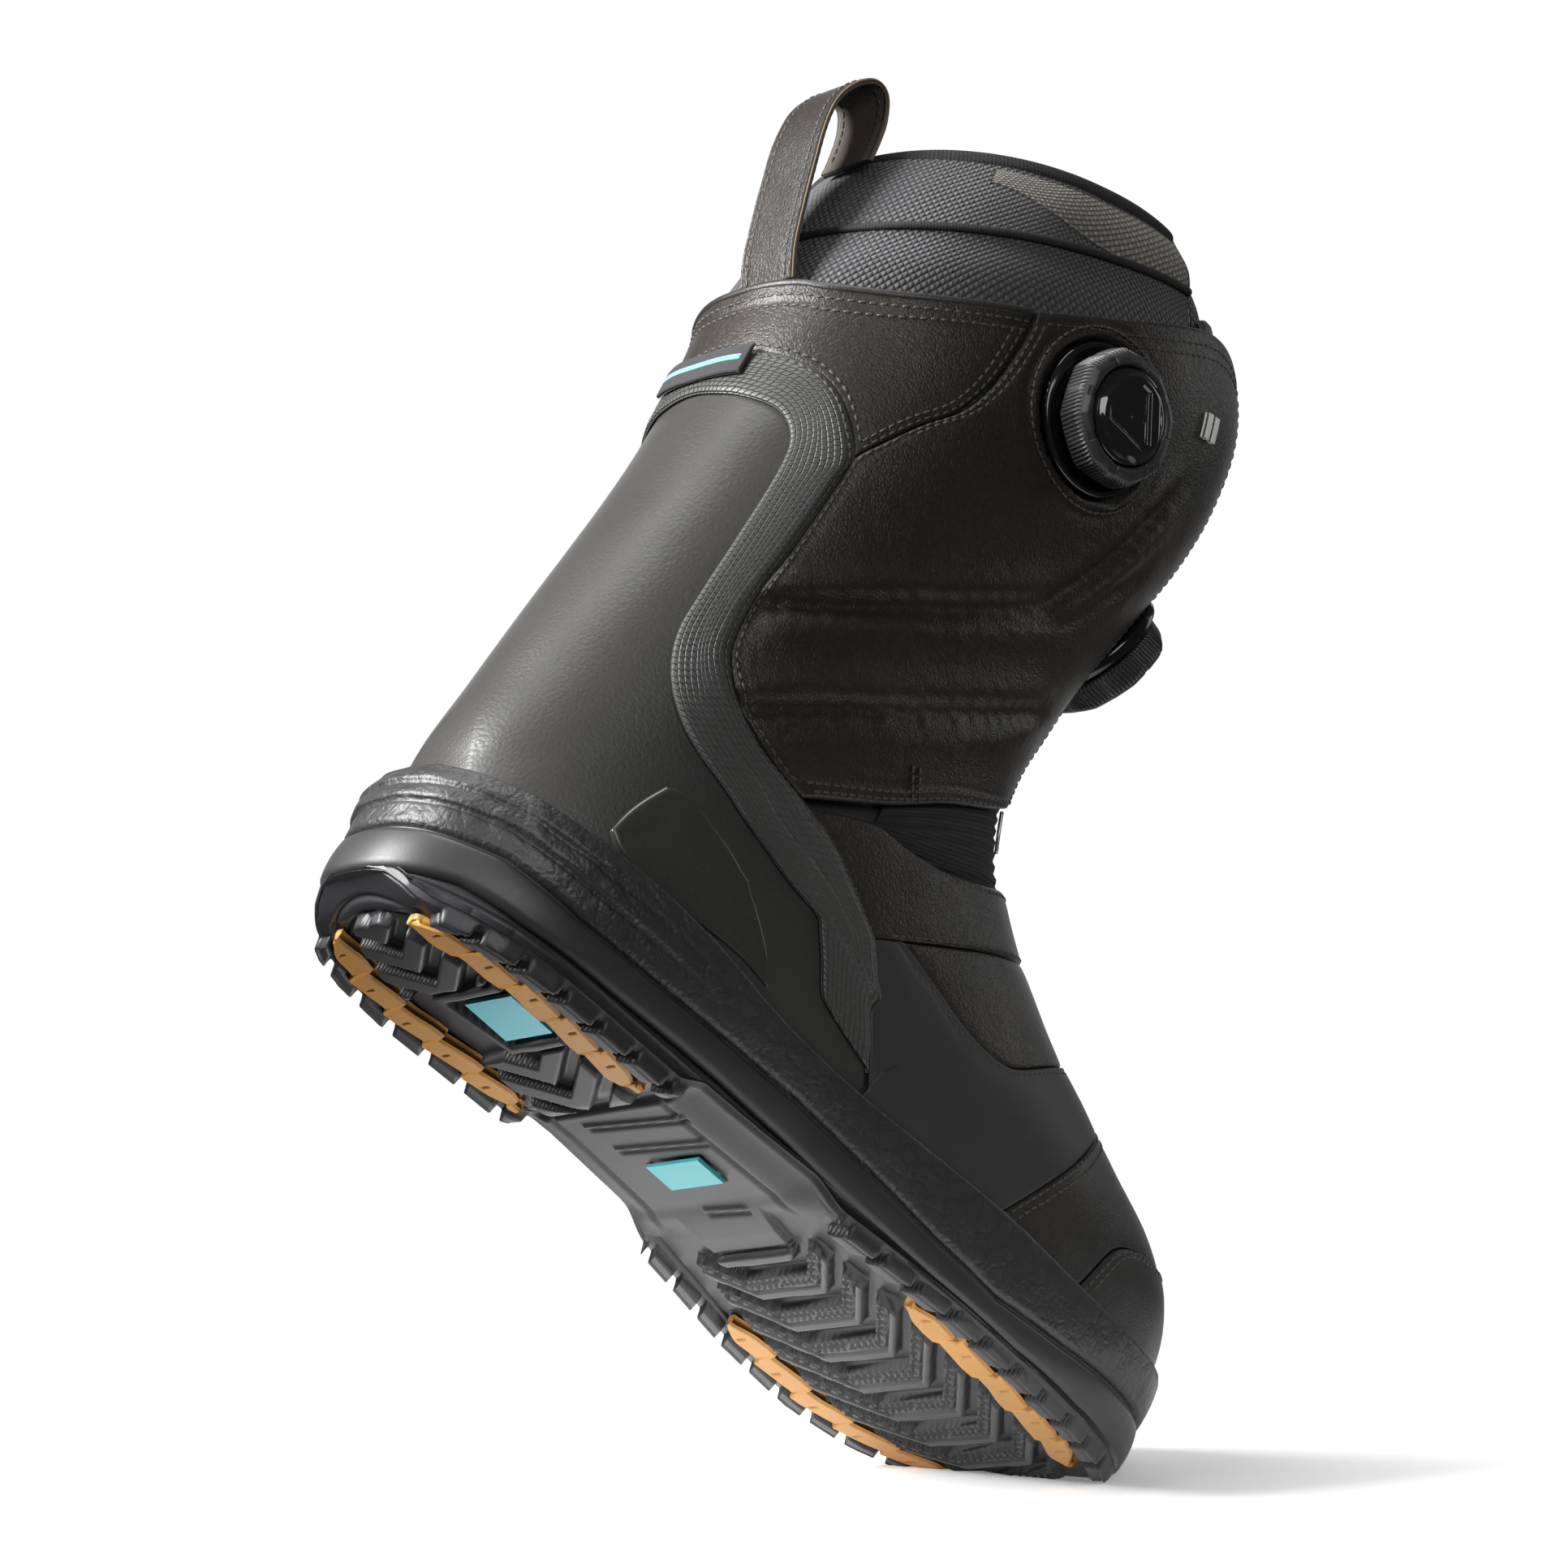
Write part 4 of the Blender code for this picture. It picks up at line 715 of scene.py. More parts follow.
M_KNIT = weave("liner_knit", (.004, .004, .0045), (.115, .115, .122), 1.75, depth=1.0, angle=math.radians(38), skew=.8)
M_KNIT_IN = weave("liner_lining", (.02, .021, .023), (.045, .046, .05), 1.0, .85, .4)
M_BEADS = weave("collar_mesh", (.010, .0095, .009), (.34, .31, .27), 1.65, .7, 1.0, angle=math.radians(32))
M_GROSGRAIN = ribs("loop_lining", (.040, .034, .029), (.12, .102, .086), .95, .7, along="x", depth=.8, dist=.25)
M_RAW = plastic("strap_raw_edge", (.13, .095, .06), .7, .3)
M_STRETCH = ribs("stretch_rib", (.005, .005, .0055), (.022, .022, .024), 1.25, .8, along="y", depth=.8, dist=.3)
M_WOVEN = weave("woven_tab", (.006, .006, .007), (.025, .025, .028), .55, .7, .5)
M_TAB_MARK = weave("woven_tab_stripe", (.10, .32, .40), (.20, .50, .60), .5, .7, .5)
M_GLOSS = plastic("dial_gloss", (.008, .008, .009), .09, .6, .03, coat=.3)
M_HOUSING = plastic("dial_housing", (.006, .006, .007), .14, .5, .05)
M_GRIP = pebble("dial_grip", (.022, .0225, .024), .42, 2200, .2, .04)
M_NYLON = plastic("nylon", (.02, .02, .02), .45, .5, .08)
M_BADGE = plastic("badge_white", (.72, .72, .70), .38, .5, .06)
M_TEAL = plastic("teal_window", (.03, .36, .43), .16, .5, .05, coat=.4)
M_TEAL_MATT = plastic("teal_mark", (.05, .36, .38), .4, .5, .06)
M_STEEL = plastic("steel_cable", (.42, .42, .44), .32, .5, .08, metallic=.9)
M_BOARD = pebble("lasting_board", (.25, .19, .11), .8, 900, .4, .1)
M_FOOTBED = weave("footbed_cloth", (.035, .038, .042), (.09, .095, .1), .9, .9, .4)
M_TONGUE = leather("tongue_skin", (.015, .0145, .014), .5, cell=1.0, depth=.35, crease=.3)


def band_material():
    """Moulded overlay: brick-like rows of small tiles."""
    m = Mat("band_grid")
    x, y = m.uv()
    row = m.math("FLOOR", m.math("DIVIDE", y, 2.05))
    shift = m.math("MULTIPLY", m.math("FLOORED_MODULO", row, 2.0), 1.05)
    fx = m.math("PINGPONG", m.math("ADD", x, shift), 1.05)
    fy = m.math("PINGPONG", y, 1.025)
    gx = m.remap(fx, 0.0, .28)
    gy = m.remap(fy, 0.0, .28)
    tile = m.math("MULTIPLY", gx, gy)
    fine = m.noise(2600, 2)
    # painted shade: the grooves between the tiles are darker than the tile tops
    base = m.mix(tile, (.022, .022, .021), (.050, .050, .0475))
    big = m.noise(18, 2)
    base = m.mix(m.math("MULTIPLY", m.remap(big, .4, .7), .3), base, (.062, .062, .058))
    return m.done(base, m.math("ADD", .40, m.math("MULTIPLY", fine, .12)), m.bump(m.math("ADD", tile, m.math("MULTIPLY", fine, .12)), 1.0, .40), Specular_IOR_Level=.45)


M_BAND = band_material()



# ---- the upper -----------------------------------------------------------------------------------------------------------
def lines(*uv_lists, lift=0.0):
    out = []
    for pts in uv_lists:
        q = uv_line(pts)
        out.append(last(q[:, 0], q[:, 1]))
    return out


def ride(obj, body, nodes=()):
    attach(obj, body)
    if nodes:
        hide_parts(*nodes)
    return obj


def hand(points, side):
    """Seam on the side asked for: 1 lateral, -1 medial (mirrored about the front ridge)."""
    return [(u, v) for u, v in points] if side > 0 else [(u, -v) for u, v in points]


def rows(group, panel, side, insets, start=0.0, stop=1.0, **more):
    for inset_mm in insets:
        line, normal = panel.run(side, inset_mm, start, stop)
        stitch(group, line, normal, **more)


# heel counter, moulded in one piece round the heel
heel_low = [(.706, .324), (.66, .325), (.60, .322), (.562, .348), (.542, .40), (.532, .46), (.529, .50)]
counter_side = BAND_TOP[2::-1] + BAND_REAR[1:] + BAND_FOOT[1:]
uv = coons(over_back(BAND_TOP[2:]), over_back(heel_low), counter_side, mirror_line(counter_side), 141, power=3)


def counter_lift(f):
    return .10*wobble(f["P"], 46, 3) - .25*np.exp(-(f["P"][..., 1]/2.5)**2)*0


counter = Panel(uv, -.7, puff=.5, lift=counter_lift)
ride(counter.make("heel_counter_skin", M_COUNTER, 1.7, 1.5), "boot", ["heel_counter"])

# overlay band round the counter, with a rolled piping and a row of stitches on its outer edge
band_outer = (BAND_FOOT[-3::-1] + BAND_REAR[-2::-1] + BAND_TOP[1:])
outer_line, inner_line = over_back(band_outer), over_back(BAND_INNER[::-1])
uv = coons(outer_line, inner_line, [outer_line[0], inner_line[0]], [outer_line[-1], inner_line[-1]], 401)


def band_lift(f):
    return -.75*smoothstep(f["dt"], 3.2, .6) * 1.0 - .35*smoothstep(f["db"], 2.2, 0)


band = Panel(uv, 1.5, gap=.1, roll=.7, puff=.25, lift=band_lift)
ride(band.make("counter_band_moulding", M_BAND, 1.35, .9), "boot", ["counter_band"])
line, normal = band.run("top", -.9, 0, 1, 900)
ride(tube("counter_band_piping", line[::3] + normal[::3]*-.9, 1.15, M_EDGE, 12, .85, normal[::3]), "boot")
rows("boot", band, "top", (1.3,), 0, 1, pitch=2.9)

# generic woven tab folded over the band's top
uv = coons([(.171, .545), (.171, .50), (.171, .455)], [(.198, .545), (.198, .50), (.198, .455)], [(.171, .545), (.198, .545)],
           [(.171, .455), (.198, .455)], 41)
tab = Panel(uv, 2.9, gap=.1, roll=.4, puff=.2, lift=lambda f: .18*np.sin(f["s"]*9) + .5*smoothstep(f["dt"], 0, 3))
ride(tab.make("woven_label_cloth", M_WOVEN, 1.0, .6), "boot", ["woven_label"])
stripe = coons([(.182, .54), (.182, .46)], [(.187, .54), (.187, .46)], [(.182, .54), (.187, .54)], [(.182, .46), (.187, .46)], 41)
ride(Panel(stripe, 3.25, gap=.05, roll=.1, puff=.1, lift=lambda f: .18*np.sin((.09 + f["s"]*.83)*9) + .35).make("woven_label_stripe", M_TAB_MARK, 1.0, .3),
     "boot")

# collar: leather panel with a bound top edge
uv = coons(over_back(COLLAR[::-1]), over_back(BAND_TOP), DIAGONAL, mirror_line(DIAGONAL), 141)


def collar_lift(f):
    step = smoothstep(f["dt"], 6.6, 5.6)
    return .35*step - .28*np.exp(-((f["dt"] - 6.9)/.7)**2) + .16*wobble(f["P"], 30, 5) + .45*np.exp(-(f["dt"]/3.0)**2)


collar = Panel(uv, .1, puff=.55, lift=collar_lift)
ride(collar.make("collar_leather", M_LEATHER, 1.4, 1.8), "boot", ["collar_panel"])
rows("boot", collar, "top", (4.9, 8.4))
for side in ("left", "right"):
    rows("boot", collar, side, (1.9, 4.2), .08, 1)
rows("boot", collar, "bottom", (2.6,), .02, .98)
line, normal = collar.run("top", 1.0, 0, 1, 500)
ride(tube("collar_edge_roll", line[::3] - normal[::3]*.8, 1.35, M_EDGE, 12, 1.0, normal[::3]), "boot")

# ankle, instep and toe
ankle_top = [(.516, .256), (.516, .236)] + GUSSET_HEM[1:]
uv = coons(over_front(ankle_top), over_front(ANKLE_HEM), [(.516, .256), (.532, .246), (.545, .238), (.568, .232), (.60, .234)],
           [(.516, -.256), (.532, -.246), (.545, -.238), (.568, -.232), (.60, -.234)], 121)
ankle = Panel(uv, .1, puff=.6, lift=lambda f: .2*wobble(f["P"], 26, 7))
ride(ankle.make("ankle_leather", M_LEATHER, 1.4, 1.8), "boot", ["ankle_panel"])
rows("boot", ankle, "top", (1.8,), .12, .88)
rows("boot", ankle, "bottom", (1.6,), .02, .98)

uv = coons(over_front([(.60, .217), (.60, .18), (.60, .149), (.602, .08), (.603, 0)]), over_front(RAND[5:]), RAND[:6],
           [(u, -v) for u, v in RAND[:6]], 121)
instep = Panel(uv, -.1, puff=.6, lift=lambda f: .2*wobble(f["P"], 26, 9))
ride(instep.make("instep_leather", M_LEATHER, 1.4, 1.7), "boot", ["instep_panel"])

quarter_low = BAND_FOOT[4:] + [(.74, .322)] + QUARTER_HEM
uv = coons(over_front(RAND), over_front(quarter_low), [(.60, .217), (.60, .234)], [(.60, -.217), (.60, -.234)], 281)
quarter = Panel(uv, .35, gap=.1, roll=.6, puff=.3, lift=lambda f: .12*wobble(f["P"], 40, 11) - .25*np.exp(-((f["dt"] - 2.8)/1.0)**2))
ride(quarter.make("quarter_overlay", M_QUARTER, 1.5, 1.6), "boot", ["quarter_wrap"])
rows("boot", quarter, "top", (2.8,), .03, .97, pitch=2.8)

uv = coons(over_front(QUARTER_HEM), over_front(TOE_SEAM), [(.779, .306), (.838, .302)], [(.779, -.306), (.838, -.302)], 161)
vamp = Panel(uv, 0, puff=.35, lift=lambda f: .15*wobble(f["P"], 34, 13))
ride(vamp.make("vamp_leather", M_VAMP, 1.5, 1.7), "boot", ["vamp"])
rows("boot", vamp, "top", (1.6, 4.4), .02, .98, pitch=2.9)

toe_side = [(.838, .302), (.87, .30), (.895, .296), (.93, .29), (.955, .29), (.998, .28)]
uv = coons(over_front(TOE_SEAM), [(.998, .28), (.998, .14), (.998, 0), (.998, -.14), (.998, -.28)], toe_side,
           [(u, -v) for u, v in toe_side], 161)
toe = Panel(uv, .45, gap=.1, roll=.8, puff=.3, lift=lambda f: .12*wobble(f["P"], 40, 15) - .5*smoothstep(f["uv"][..., 0], .97, .998))
ride(toe.make("toe_leather", M_VAMP, 1.5, 1.8), "boot", ["toe_cap"])
rows("boot", toe, "top", (1.9, 4.3), .0, 1, pitch=2.9)

# stretch gusset under the flaps, gathered in fine ribs
gusset_top = [(.492, .214), (.478, .174), (.468, .13), (.462, .09), (.458, .04), (.457, 0)]
gusset_low = [(.535, .226), (.545, .16), (.546, .08), (.540, 0)]
uv = coons(over_front(gusset_top), over_front(gusset_low), [(.492, .214), (.535, .226)], [(.492, -.214), (.535, -.226)], 161)
gusset = Panel(uv, -2.0, gap=.1, roll=.4, puff=.1, lift=lambda f: .35*np.sin(f["dt"]*2*np.pi/3.4)*smoothstep(f["d"], 0, 2) + .3*wobble(f["P"], 18, 17))
ride(gusset.make("stretch_gusset_cloth", M_STRETCH, .8, 1.0), "boot", ["stretch_gusset"])

# polished ankle patches, moulded with a bevelled edge and a shallow dish
for side, node in ((1, "ankle_patch_lateral"), (-1, "ankle_patch_medial")):
    fix = (lambda pts: [(u, v) for u, v in pts]) if side > 0 else mirror_line
    uv = coons(fix([(.518, .321), (.522, .306), (.533, .291), (.548, .277), (.566, .270)]),
               fix([(.545, .340), (.565, .330), (.592, .317), (.614, .307), (.636, .304)]),
               fix([(.518, .321), (.530, .331), (.545, .340)]), fix([(.566, .270), (.590, .274), (.615, .286), (.636, .304)]), 81)
    patch = Panel(uv, .95, gap=.1, roll=1.2, puff=.0, lift=lambda f: -.45*smoothstep(f["d"], 1.5, 12))
    ride(patch.make(node + "_moulding", M_POLISHED, 1.1, 1.2), "boot", [node])

# ---- cuff flaps ------------------------------------------------------------------------------------------------------------
DIAL_UV = (.182, .234)
dial_seat = last(*DIAL_UV)
dial_normal = outward(*DIAL_UV)
flap_rear = DIAGONAL[:-1] + BAND_REAR
GROOVES = [
    ([(.395, .340), (.388, .325), (.375, .285), (.352, .236), (.33, .194), (.315, .183), (.285, .171), (.23, .16), (.185, .150)], 1.7, 2.6, 1.0),
    ([(.412, .338), (.400, .325), (.362, .231), (.332, .166), (.305, .149), (.275, .134), (.248, .129)], .8, 2.4, .3),
    ([(.470, .312), (.465, .302), (.448, .25), (.424, .185), (.40, .121), (.392, .100)], 1.6, 2.6, .9),
    ([(.482, .302), (.476, .290), (.459, .24), (.438, .182), (.414, .121)], .6, 2.2, .2),
]


def flap_lift(side):
    curves = []
    for pts, depth, width, ridge in GROOVES:
        q = uv_line(hand(pts, side))
        curves.append((last(q[:, 0], q[:, 1]), depth, width, ridge))

    def lift(f):
        h = .22*wobble(f["P"], 34, 21 + side) + .35*np.exp(-(f["dt"]/3.0)**2)
        for line, depth, width, ridge in curves:
            d, share = distance(f["P"], line, 16)
            fade = smoothstep(share, 0, .04)*smoothstep(share, 1, .86)
            h = h + fade*(-depth*np.exp(-(d/width)**2) + ridge*np.exp(-((d - 5.5)/4.2)**2))
        # hem: the turned edge is a little proud, with a shallow furrow where the rows of thread lie
        h = h + .30*smoothstep(f["db"], 6.4, 5.4) - .22*np.exp(-((f["db"] - 6.6)/.7)**2)
        h = h - .35*np.exp(-((f["dl"] - 2.6)/1.4)**2)
        if side > 0:
            r = np.linalg.norm(f["P"] - dial_seat - ((f["P"] - dial_seat) @ dial_normal)[..., None]*dial_normal, axis=-1)
            near = (f["P"] - dial_seat) @ dial_normal > -15
            h = np.where(near, h + .7*np.exp(-((r - 24.5)/1.5)**2) - .35*np.exp(-((r - 27.6)/1.0)**2) - 4.2*smoothstep(r, 23.4, 22.4), h)
        return h
    return lift


uv_lat = coons(FLAP_TOP, FLAP_HEM, flap_rear, FLAP_FRONT, 161)
FLAPS = {}
HINGE_BLEND = {"lateral": ("lateral_flap", 1), "medial": ("medial_flap", -1)}


def bend(obj):
    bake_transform(obj)
    return obj


for side, (body, sign) in HINGE_BLEND.items():
    flap = Panel(uv_lat*[1, sign], 1.1, gap=.2, roll=1.3, puff=.45, lift=flap_lift(sign))
    FLAPS[side] = flap
    obj = flap.make("cuff_flap_" + side + "_leather", M_LEATHER, 1.2, 2.2)
    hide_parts("cuff_flap_" + side)
    bend(obj)
    key = "flap_" + side
    rows(key, flap, "bottom", (2.0, 4.6), .03, .98)
    rows(key, flap, "left", (1.7, 4.0), .02, .30)
    rows(key, flap, "left", (2.0,), .30, .985)
    rows(key, flap, "top", (4.9,), .03, .97)
    rows(key, flap, "top", (8.2,), .30, .97)
    rows(key, flap, "right", (2.4,), .03, .99)
    # tack rows across the hem
    for v in (.206, .201):
        q = uv_line([(.474, sign*(v + .004)), (.503, sign*(v - .001))])
        p, n = last(q[:, 0], q[:, 1]), outward(q[:, 0], q[:, 1])
        stitch(key, p + n*2.0, n, pitch=2.6, length=2.1, start=.2, stop=.2)

# rows of thread round the dial opening
flap = FLAPS["lateral"]
x_axis = np.array([1.0, 0, 0]) - dial_normal*dial_normal[0]
x_axis /= np.linalg.norm(x_axis)
y_axis = np.cross(dial_normal, x_axis)
angles = np.linspace(0, 2*np.pi, 240)
seat_u, seat_v = np.meshgrid(np.linspace(.10, .27, 240), np.linspace(.12, .36, 240), indexing="ij")
seat_points = last(seat_u, seat_v)
ring_line, ring_normal = [], []
for a in angles:
    target = dial_seat + 26.4*(x_axis*math.cos(a) + y_axis*math.sin(a))
    rel = seat_points - target
    rel -= (rel @ dial_normal)[..., None]*dial_normal
    best = np.unravel_index(np.linalg.norm(rel, axis=-1).argmin(), seat_u.shape)
    u_, v_ = seat_u[best], seat_v[best]
    n_ = outward(u_, v_)
    ring_line.append(last(u_, v_) + n_*2.05)
    ring_normal.append(n_)
ring_line, ring_normal = np.array(ring_line), np.array(ring_normal)
ring_line = np.stack([np.convolve(np.concatenate([ring_line[-5:-1, k], ring_line[:, k], ring_line[1:5, k]]), np.ones(9)/9, "valid") for k in range(3)], -1)
stitch("dial_ring", ring_line, ring_normal, pitch=2.9)



# ---- inner boot -----------------------------------------------------------------------------------------------------------
def uv_grid(u_values, v_values):
    return np.stack(np.meshgrid(u_values, v_values, indexing="ij"), -1)


def liner_lift(P, u, v):
    """Soft folds of the padded knit, and the roll under the binding."""
    return .35*wobble(P, 38, 41) + .5*np.exp(-((u - .035)/.018)**2) - .5*np.exp(-((u - .072)/.012)**2)


def liner_part(name, us, vs, mat, body="boot", nodes=(), outer=-4.2, inner=-10.7):
    g = uv_grid(us, vs)
    base, normal = last(g[..., 0], g[..., 1]), outward(g[..., 0], g[..., 1])
    h = outer + liner_lift(base, g[..., 0], g[..., 1])
    down = metres_of(last(us, np.full(len(us), np.mean(vs))))
    across = metres_of(last(np.full(len(vs), us[len(us)//3]), vs))
    st = np.stack(np.meshgrid(down, across, indexing="ij")[::-1], -1)
    obj = shell(name, base + h[..., None]*normal, base + (np.minimum(inner + .2*wobble(base, 30, 43), h - 1))[..., None]*normal, mat, uv=st)
    return ride(obj, body, nodes)


n_u, n_v = int(230/(2.0*FINE)), int(300/(2.0*FINE))
liner_part("liner_knit_shaft", np.linspace(.008, .50, n_u), np.linspace(.165, .835, n_v), M_KNIT, nodes=["liner_body"])
liner_part("liner_foot", np.linspace(.497, .945, 90), np.linspace(.0001, .9999, 90), M_KNIT_IN, nodes=["liner_body"])

# collar zone: piping, then a coarse open mesh band up to the binding
U_PIPE = .060
for sign in (1, -1):
    us = np.linspace(0, 1, int(22/(1.0*FINE)))
    vs = np.linspace(.170, .345, int(74/(1.2*FINE)))
    g = uv_grid(us, vs if sign > 0 else 1 - vs)
    # the patch narrows and ends in a slant towards the back
    taper = .0125 + .0345*smoothstep(vs, .350, .215)
    g[..., 0] = .0145 + us[:, None]*taper[None]
    base, normal = last(g[..., 0], g[..., 1]), outward(g[..., 0], g[..., 1])
    lift_ = liner_lift(base, g[..., 0], g[..., 1])
    edge = np.minimum(np.minimum(g[..., 0] - .0145, .0145 + taper[None] - g[..., 0])*470, np.minimum(np.abs(g[..., 1] - g[0, 0, 1]), np.abs(g[..., 1] - g[0, -1, 1]))*300)
    h = -3.9 + lift_ + .55*(1 - np.exp(-edge/2.2))
    st = np.stack(np.meshgrid(metres_of(base[:, 0]), metres_of(base[0]), indexing="ij")[::-1], -1)
    ride(shell("liner_mesh_" + ("lateral" if sign > 0 else "medial"), base + h[..., None]*normal, base + (h - 1.2)[..., None]*normal, M_BEADS, uv=st),
         "boot")


def cord_on(name, us, vs, lift_, radius, mat, body, squash=.8, nodes=()):
    base, normal = last(us, vs), outward(us, vs)
    line = base + normal*lift_
    return ride(tube(name, line, radius, mat, 14, squash, normal), body, nodes)


vv = np.linspace(.168, .832, 220)
cord_on("liner_piping", np.full(220, U_PIPE) + .004*np.sin((vv - .168)/.664*np.pi), vv, -3.9, 1.35, M_PIPING, "boot")
# binding that wraps the rim
rim_line = []
for v in np.linspace(.168, .832, 200):
    a, b = last(.010, v) + outward(.010, v)*-7.2, last(.04, v) + outward(.04, v)*-7.2
    rim_line.append(a + (a - b)/np.linalg.norm(a - b)*2.0)
rim_line = np.array(rim_line)
ride(tube("liner_rim_binding", rim_line, 3.9, M_BINDING, 18, 1.0, outward(np.full(200, .012), np.linspace(.168, .832, 200))), "boot", ["liner_binding"])

# tongue of the inner boot: a padded leaf with a bound rim, and the shell's own tongue in front of it
us, vs = np.linspace(.008, .475, int(215/(2.0*FINE))), np.linspace(.137, -.137, int(88/(2.0*FINE)))
g = uv_grid(us, vs)
base, normal = last(g[..., 0], g[..., 1]), outward(g[..., 0], g[..., 1])
edge = np.minimum((.137 - np.abs(g[..., 1]))*300, (g[..., 0] - .008)*470)
h = -7.4 + .25*wobble(base, 36, 45) - 1.4*np.exp(-edge/1.6)
st = np.stack(np.meshgrid(metres_of(last(us, np.zeros(len(us)))), metres_of(last(np.full(len(vs), .1), vs)), indexing="ij")[::-1], -1)
padded_leaf = ride(shell("liner_tongue_leaf", base + h[..., None]*normal, base + (h - 4.6 + 2.0*np.exp(-edge/1.6))[..., None]*normal, M_KNIT, uv=st), "tongue", ["liner_tongue"])
rim_line = []
for v in np.linspace(.132, -.132, 90):
    a, b = last(.012, v) + outward(.012, v)*-9.7, last(.04, v) + outward(.04, v)*-9.7
    rim_line.append(a + (a - b)/np.linalg.norm(a - b)*3.4)
ride(tube("tongue_rim_binding", np.array(rim_line), 3.3, M_BINDING, 16, 1.0, outward(np.full(90, .012), np.linspace(.132, -.132, 90))), "tongue", ["tongue_binding"])

uv = coons([(.072, .138), (.060, .10), (.054, 0), (.060, -.10), (.072, -.138)], [(.497, .138), (.499, 0), (.497, -.138)], [(.072, .138), (.497, .138)],
           [(.072, -.138), (.497, -.138)], 121)


def tongue_lift(f):
    h = .2*wobble(f["P"], 30, 47) - 1.2*smoothstep(f["dt"], 4, 0)
    for k in (.20, .36, .52, .68, .84):
        h = h - .7*np.exp(-(((f["t"] - k)*f["dt"].max())/2.2)**2)*smoothstep(f["d"], 0, 6)
    return h


shell_tongue = Panel(uv, -4.25, puff=.3, roll=.9, lift=tongue_lift)
leaf = shell_tongue.make("shell_tongue_leaf", M_TONGUE, 1.6, 1.6)
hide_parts("shell_tongue")


def bend_tongue(obj):
    """The tongue is sewn to the boot at its lower end; its placement is baked into the mesh."""
    tuple(world(last(.485, 0)))
    tuple(world(last(.37, 0)))
    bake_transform(obj)
    return obj


bend_tongue(leaf)
rows("tongue", shell_tongue, "top", (2.4,), .03, .97)
rows("tongue", shell_tongue, "left", (2.2,), .03, .97)
rows("tongue", shell_tongue, "right", (2.2,), .03, .97)

# laces
for name, u0 in (("lace_upper", .165), ("lace_middle", .235), ("lace_lower", .405)):
    vs = np.linspace(.118, -.118, 60)
    line = last(np.full(60, u0), vs) + outward(np.full(60, u0), vs)*-2.4
    ride(tube(name + "_cable", line, .62, M_STEEL, 8), "tongue", [name])
# the free run of the lace between the flap's hem and the instep
ends = [last(.478, .093) + outward(.478, .093)*.2, last(.490, .080) - outward(.490, .08)*.6, last(.505, .071) - outward(.505, .071)*1.2]
run = tube("lace_lower_run", smooth_line(ends, .8), .6, M_STEEL, 8)
bend_tongue(run)

# ---- pull loop ----------------------------------------------------------------------------------------------------------------
loop_path = np.array([(15.2, 231.5), (11.0, 240), (7.6, 251), (4.2, 264), (1.2, 277), (.6, 288), (3.4, 297), (8.6, 303), (13.6, 302.5),
                      (17.0, 296.5), (18.6, 288.5), (19.2, 281.5)])
line2 = smooth_line(loop_path, .8*FINE)
tan2 = np.gradient(line2, axis=0)
tan2 /= np.linalg.norm(tan2, axis=1)[:, None]
out2 = np.stack([-tan2[:, 1], tan2[:, 0]], -1)                 # away from the leg on the outer strip
w_ = np.linspace(-11.2, 11.2, 27)
along = metres_of(line2)
share = along/along[-1]
width = 1 - .06*smoothstep(share, .40, .58)


def strap(off, bow):
    x = line2[:, 0][:, None] + out2[:, 0][:, None]*(off + bow) + 0*w_[None]
    z = line2[:, 1][:, None] + out2[:, 1][:, None]*(off + bow) + 0*w_[None]
    y = -11.0 + w_[None]*width[:, None] + 0*x
    return np.stack([x, y, z], -1)


edge_in = 11.2 - np.abs(w_)
puffed = (.18*(1 - np.exp(-edge_in/1.2)) - .12*np.exp(-((edge_in - 2.9)/.6)**2))[None] + .10*wobble(strap(0, 0), 14, 51)
st = np.stack(np.meshgrid(along, w_, indexing="ij")[::-1], -1)
outer_face = strap(.78, puffed)
split = strap(-.05, 0*puffed)
ride(shell("pull_loop_leather", outer_face, split, M_LEATHER, uv=st), "pull_loop", ["pull_loop"])
ride(shell("pull_loop_lining", strap(-.12, 0*puffed), strap(-.85, 0*puffed - .05*np.cos(along*2.2)[:, None]), M_GROSGRAIN, uv=st), "pull_loop")
edge_lines = []
for s_ in (-1, 1):
    x = line2[:, 0] + out2[:, 0]*.28
    z = line2[:, 1] + out2[:, 1]*.28
    rim3 = np.stack([x, -11.0 + s_*11.25*width, z], -1)
    ride(tube("pull_loop_edge_" + ("medial" if s_ > 0 else "lateral"), rim3, .38, M_RAW, 8), "pull_loop")
    row = np.stack([line2[:, 0] + out2[:, 0]*.92, -11.0 + s_*8.2*width, line2[:, 1] + out2[:, 1]*.92], -1)
    nrm = np.stack([out2[:, 0], 0*out2[:, 0], out2[:, 1]], -1)
    stitch("pull_loop", row, nrm, pitch=3.0)
    stitch("pull_loop", row - nrm*1.85, -nrm, pitch=3.0)



# ---- lacing dials ---------------------------------------------------------------------------------------------------------
def surface_frame(u, v, lift=0.0):
    n = outward(u, v)
    origin = last(u, v) + n*lift
    x = np.array([1.0, 0, 0]) - n*n[0] if abs(n[0]) < .9 else np.array([0, 0, -1.0]) + n*n[2]
    x /= np.linalg.norm(x)
    return origin, x, np.cross(n, x), n


def place_in(frame_, pts):
    o, x, y, n = frame_
    pts = np.asarray(pts, float)
    return o + pts[..., :1]*x + pts[..., 1:2]*y + pts[..., 2:3]*n


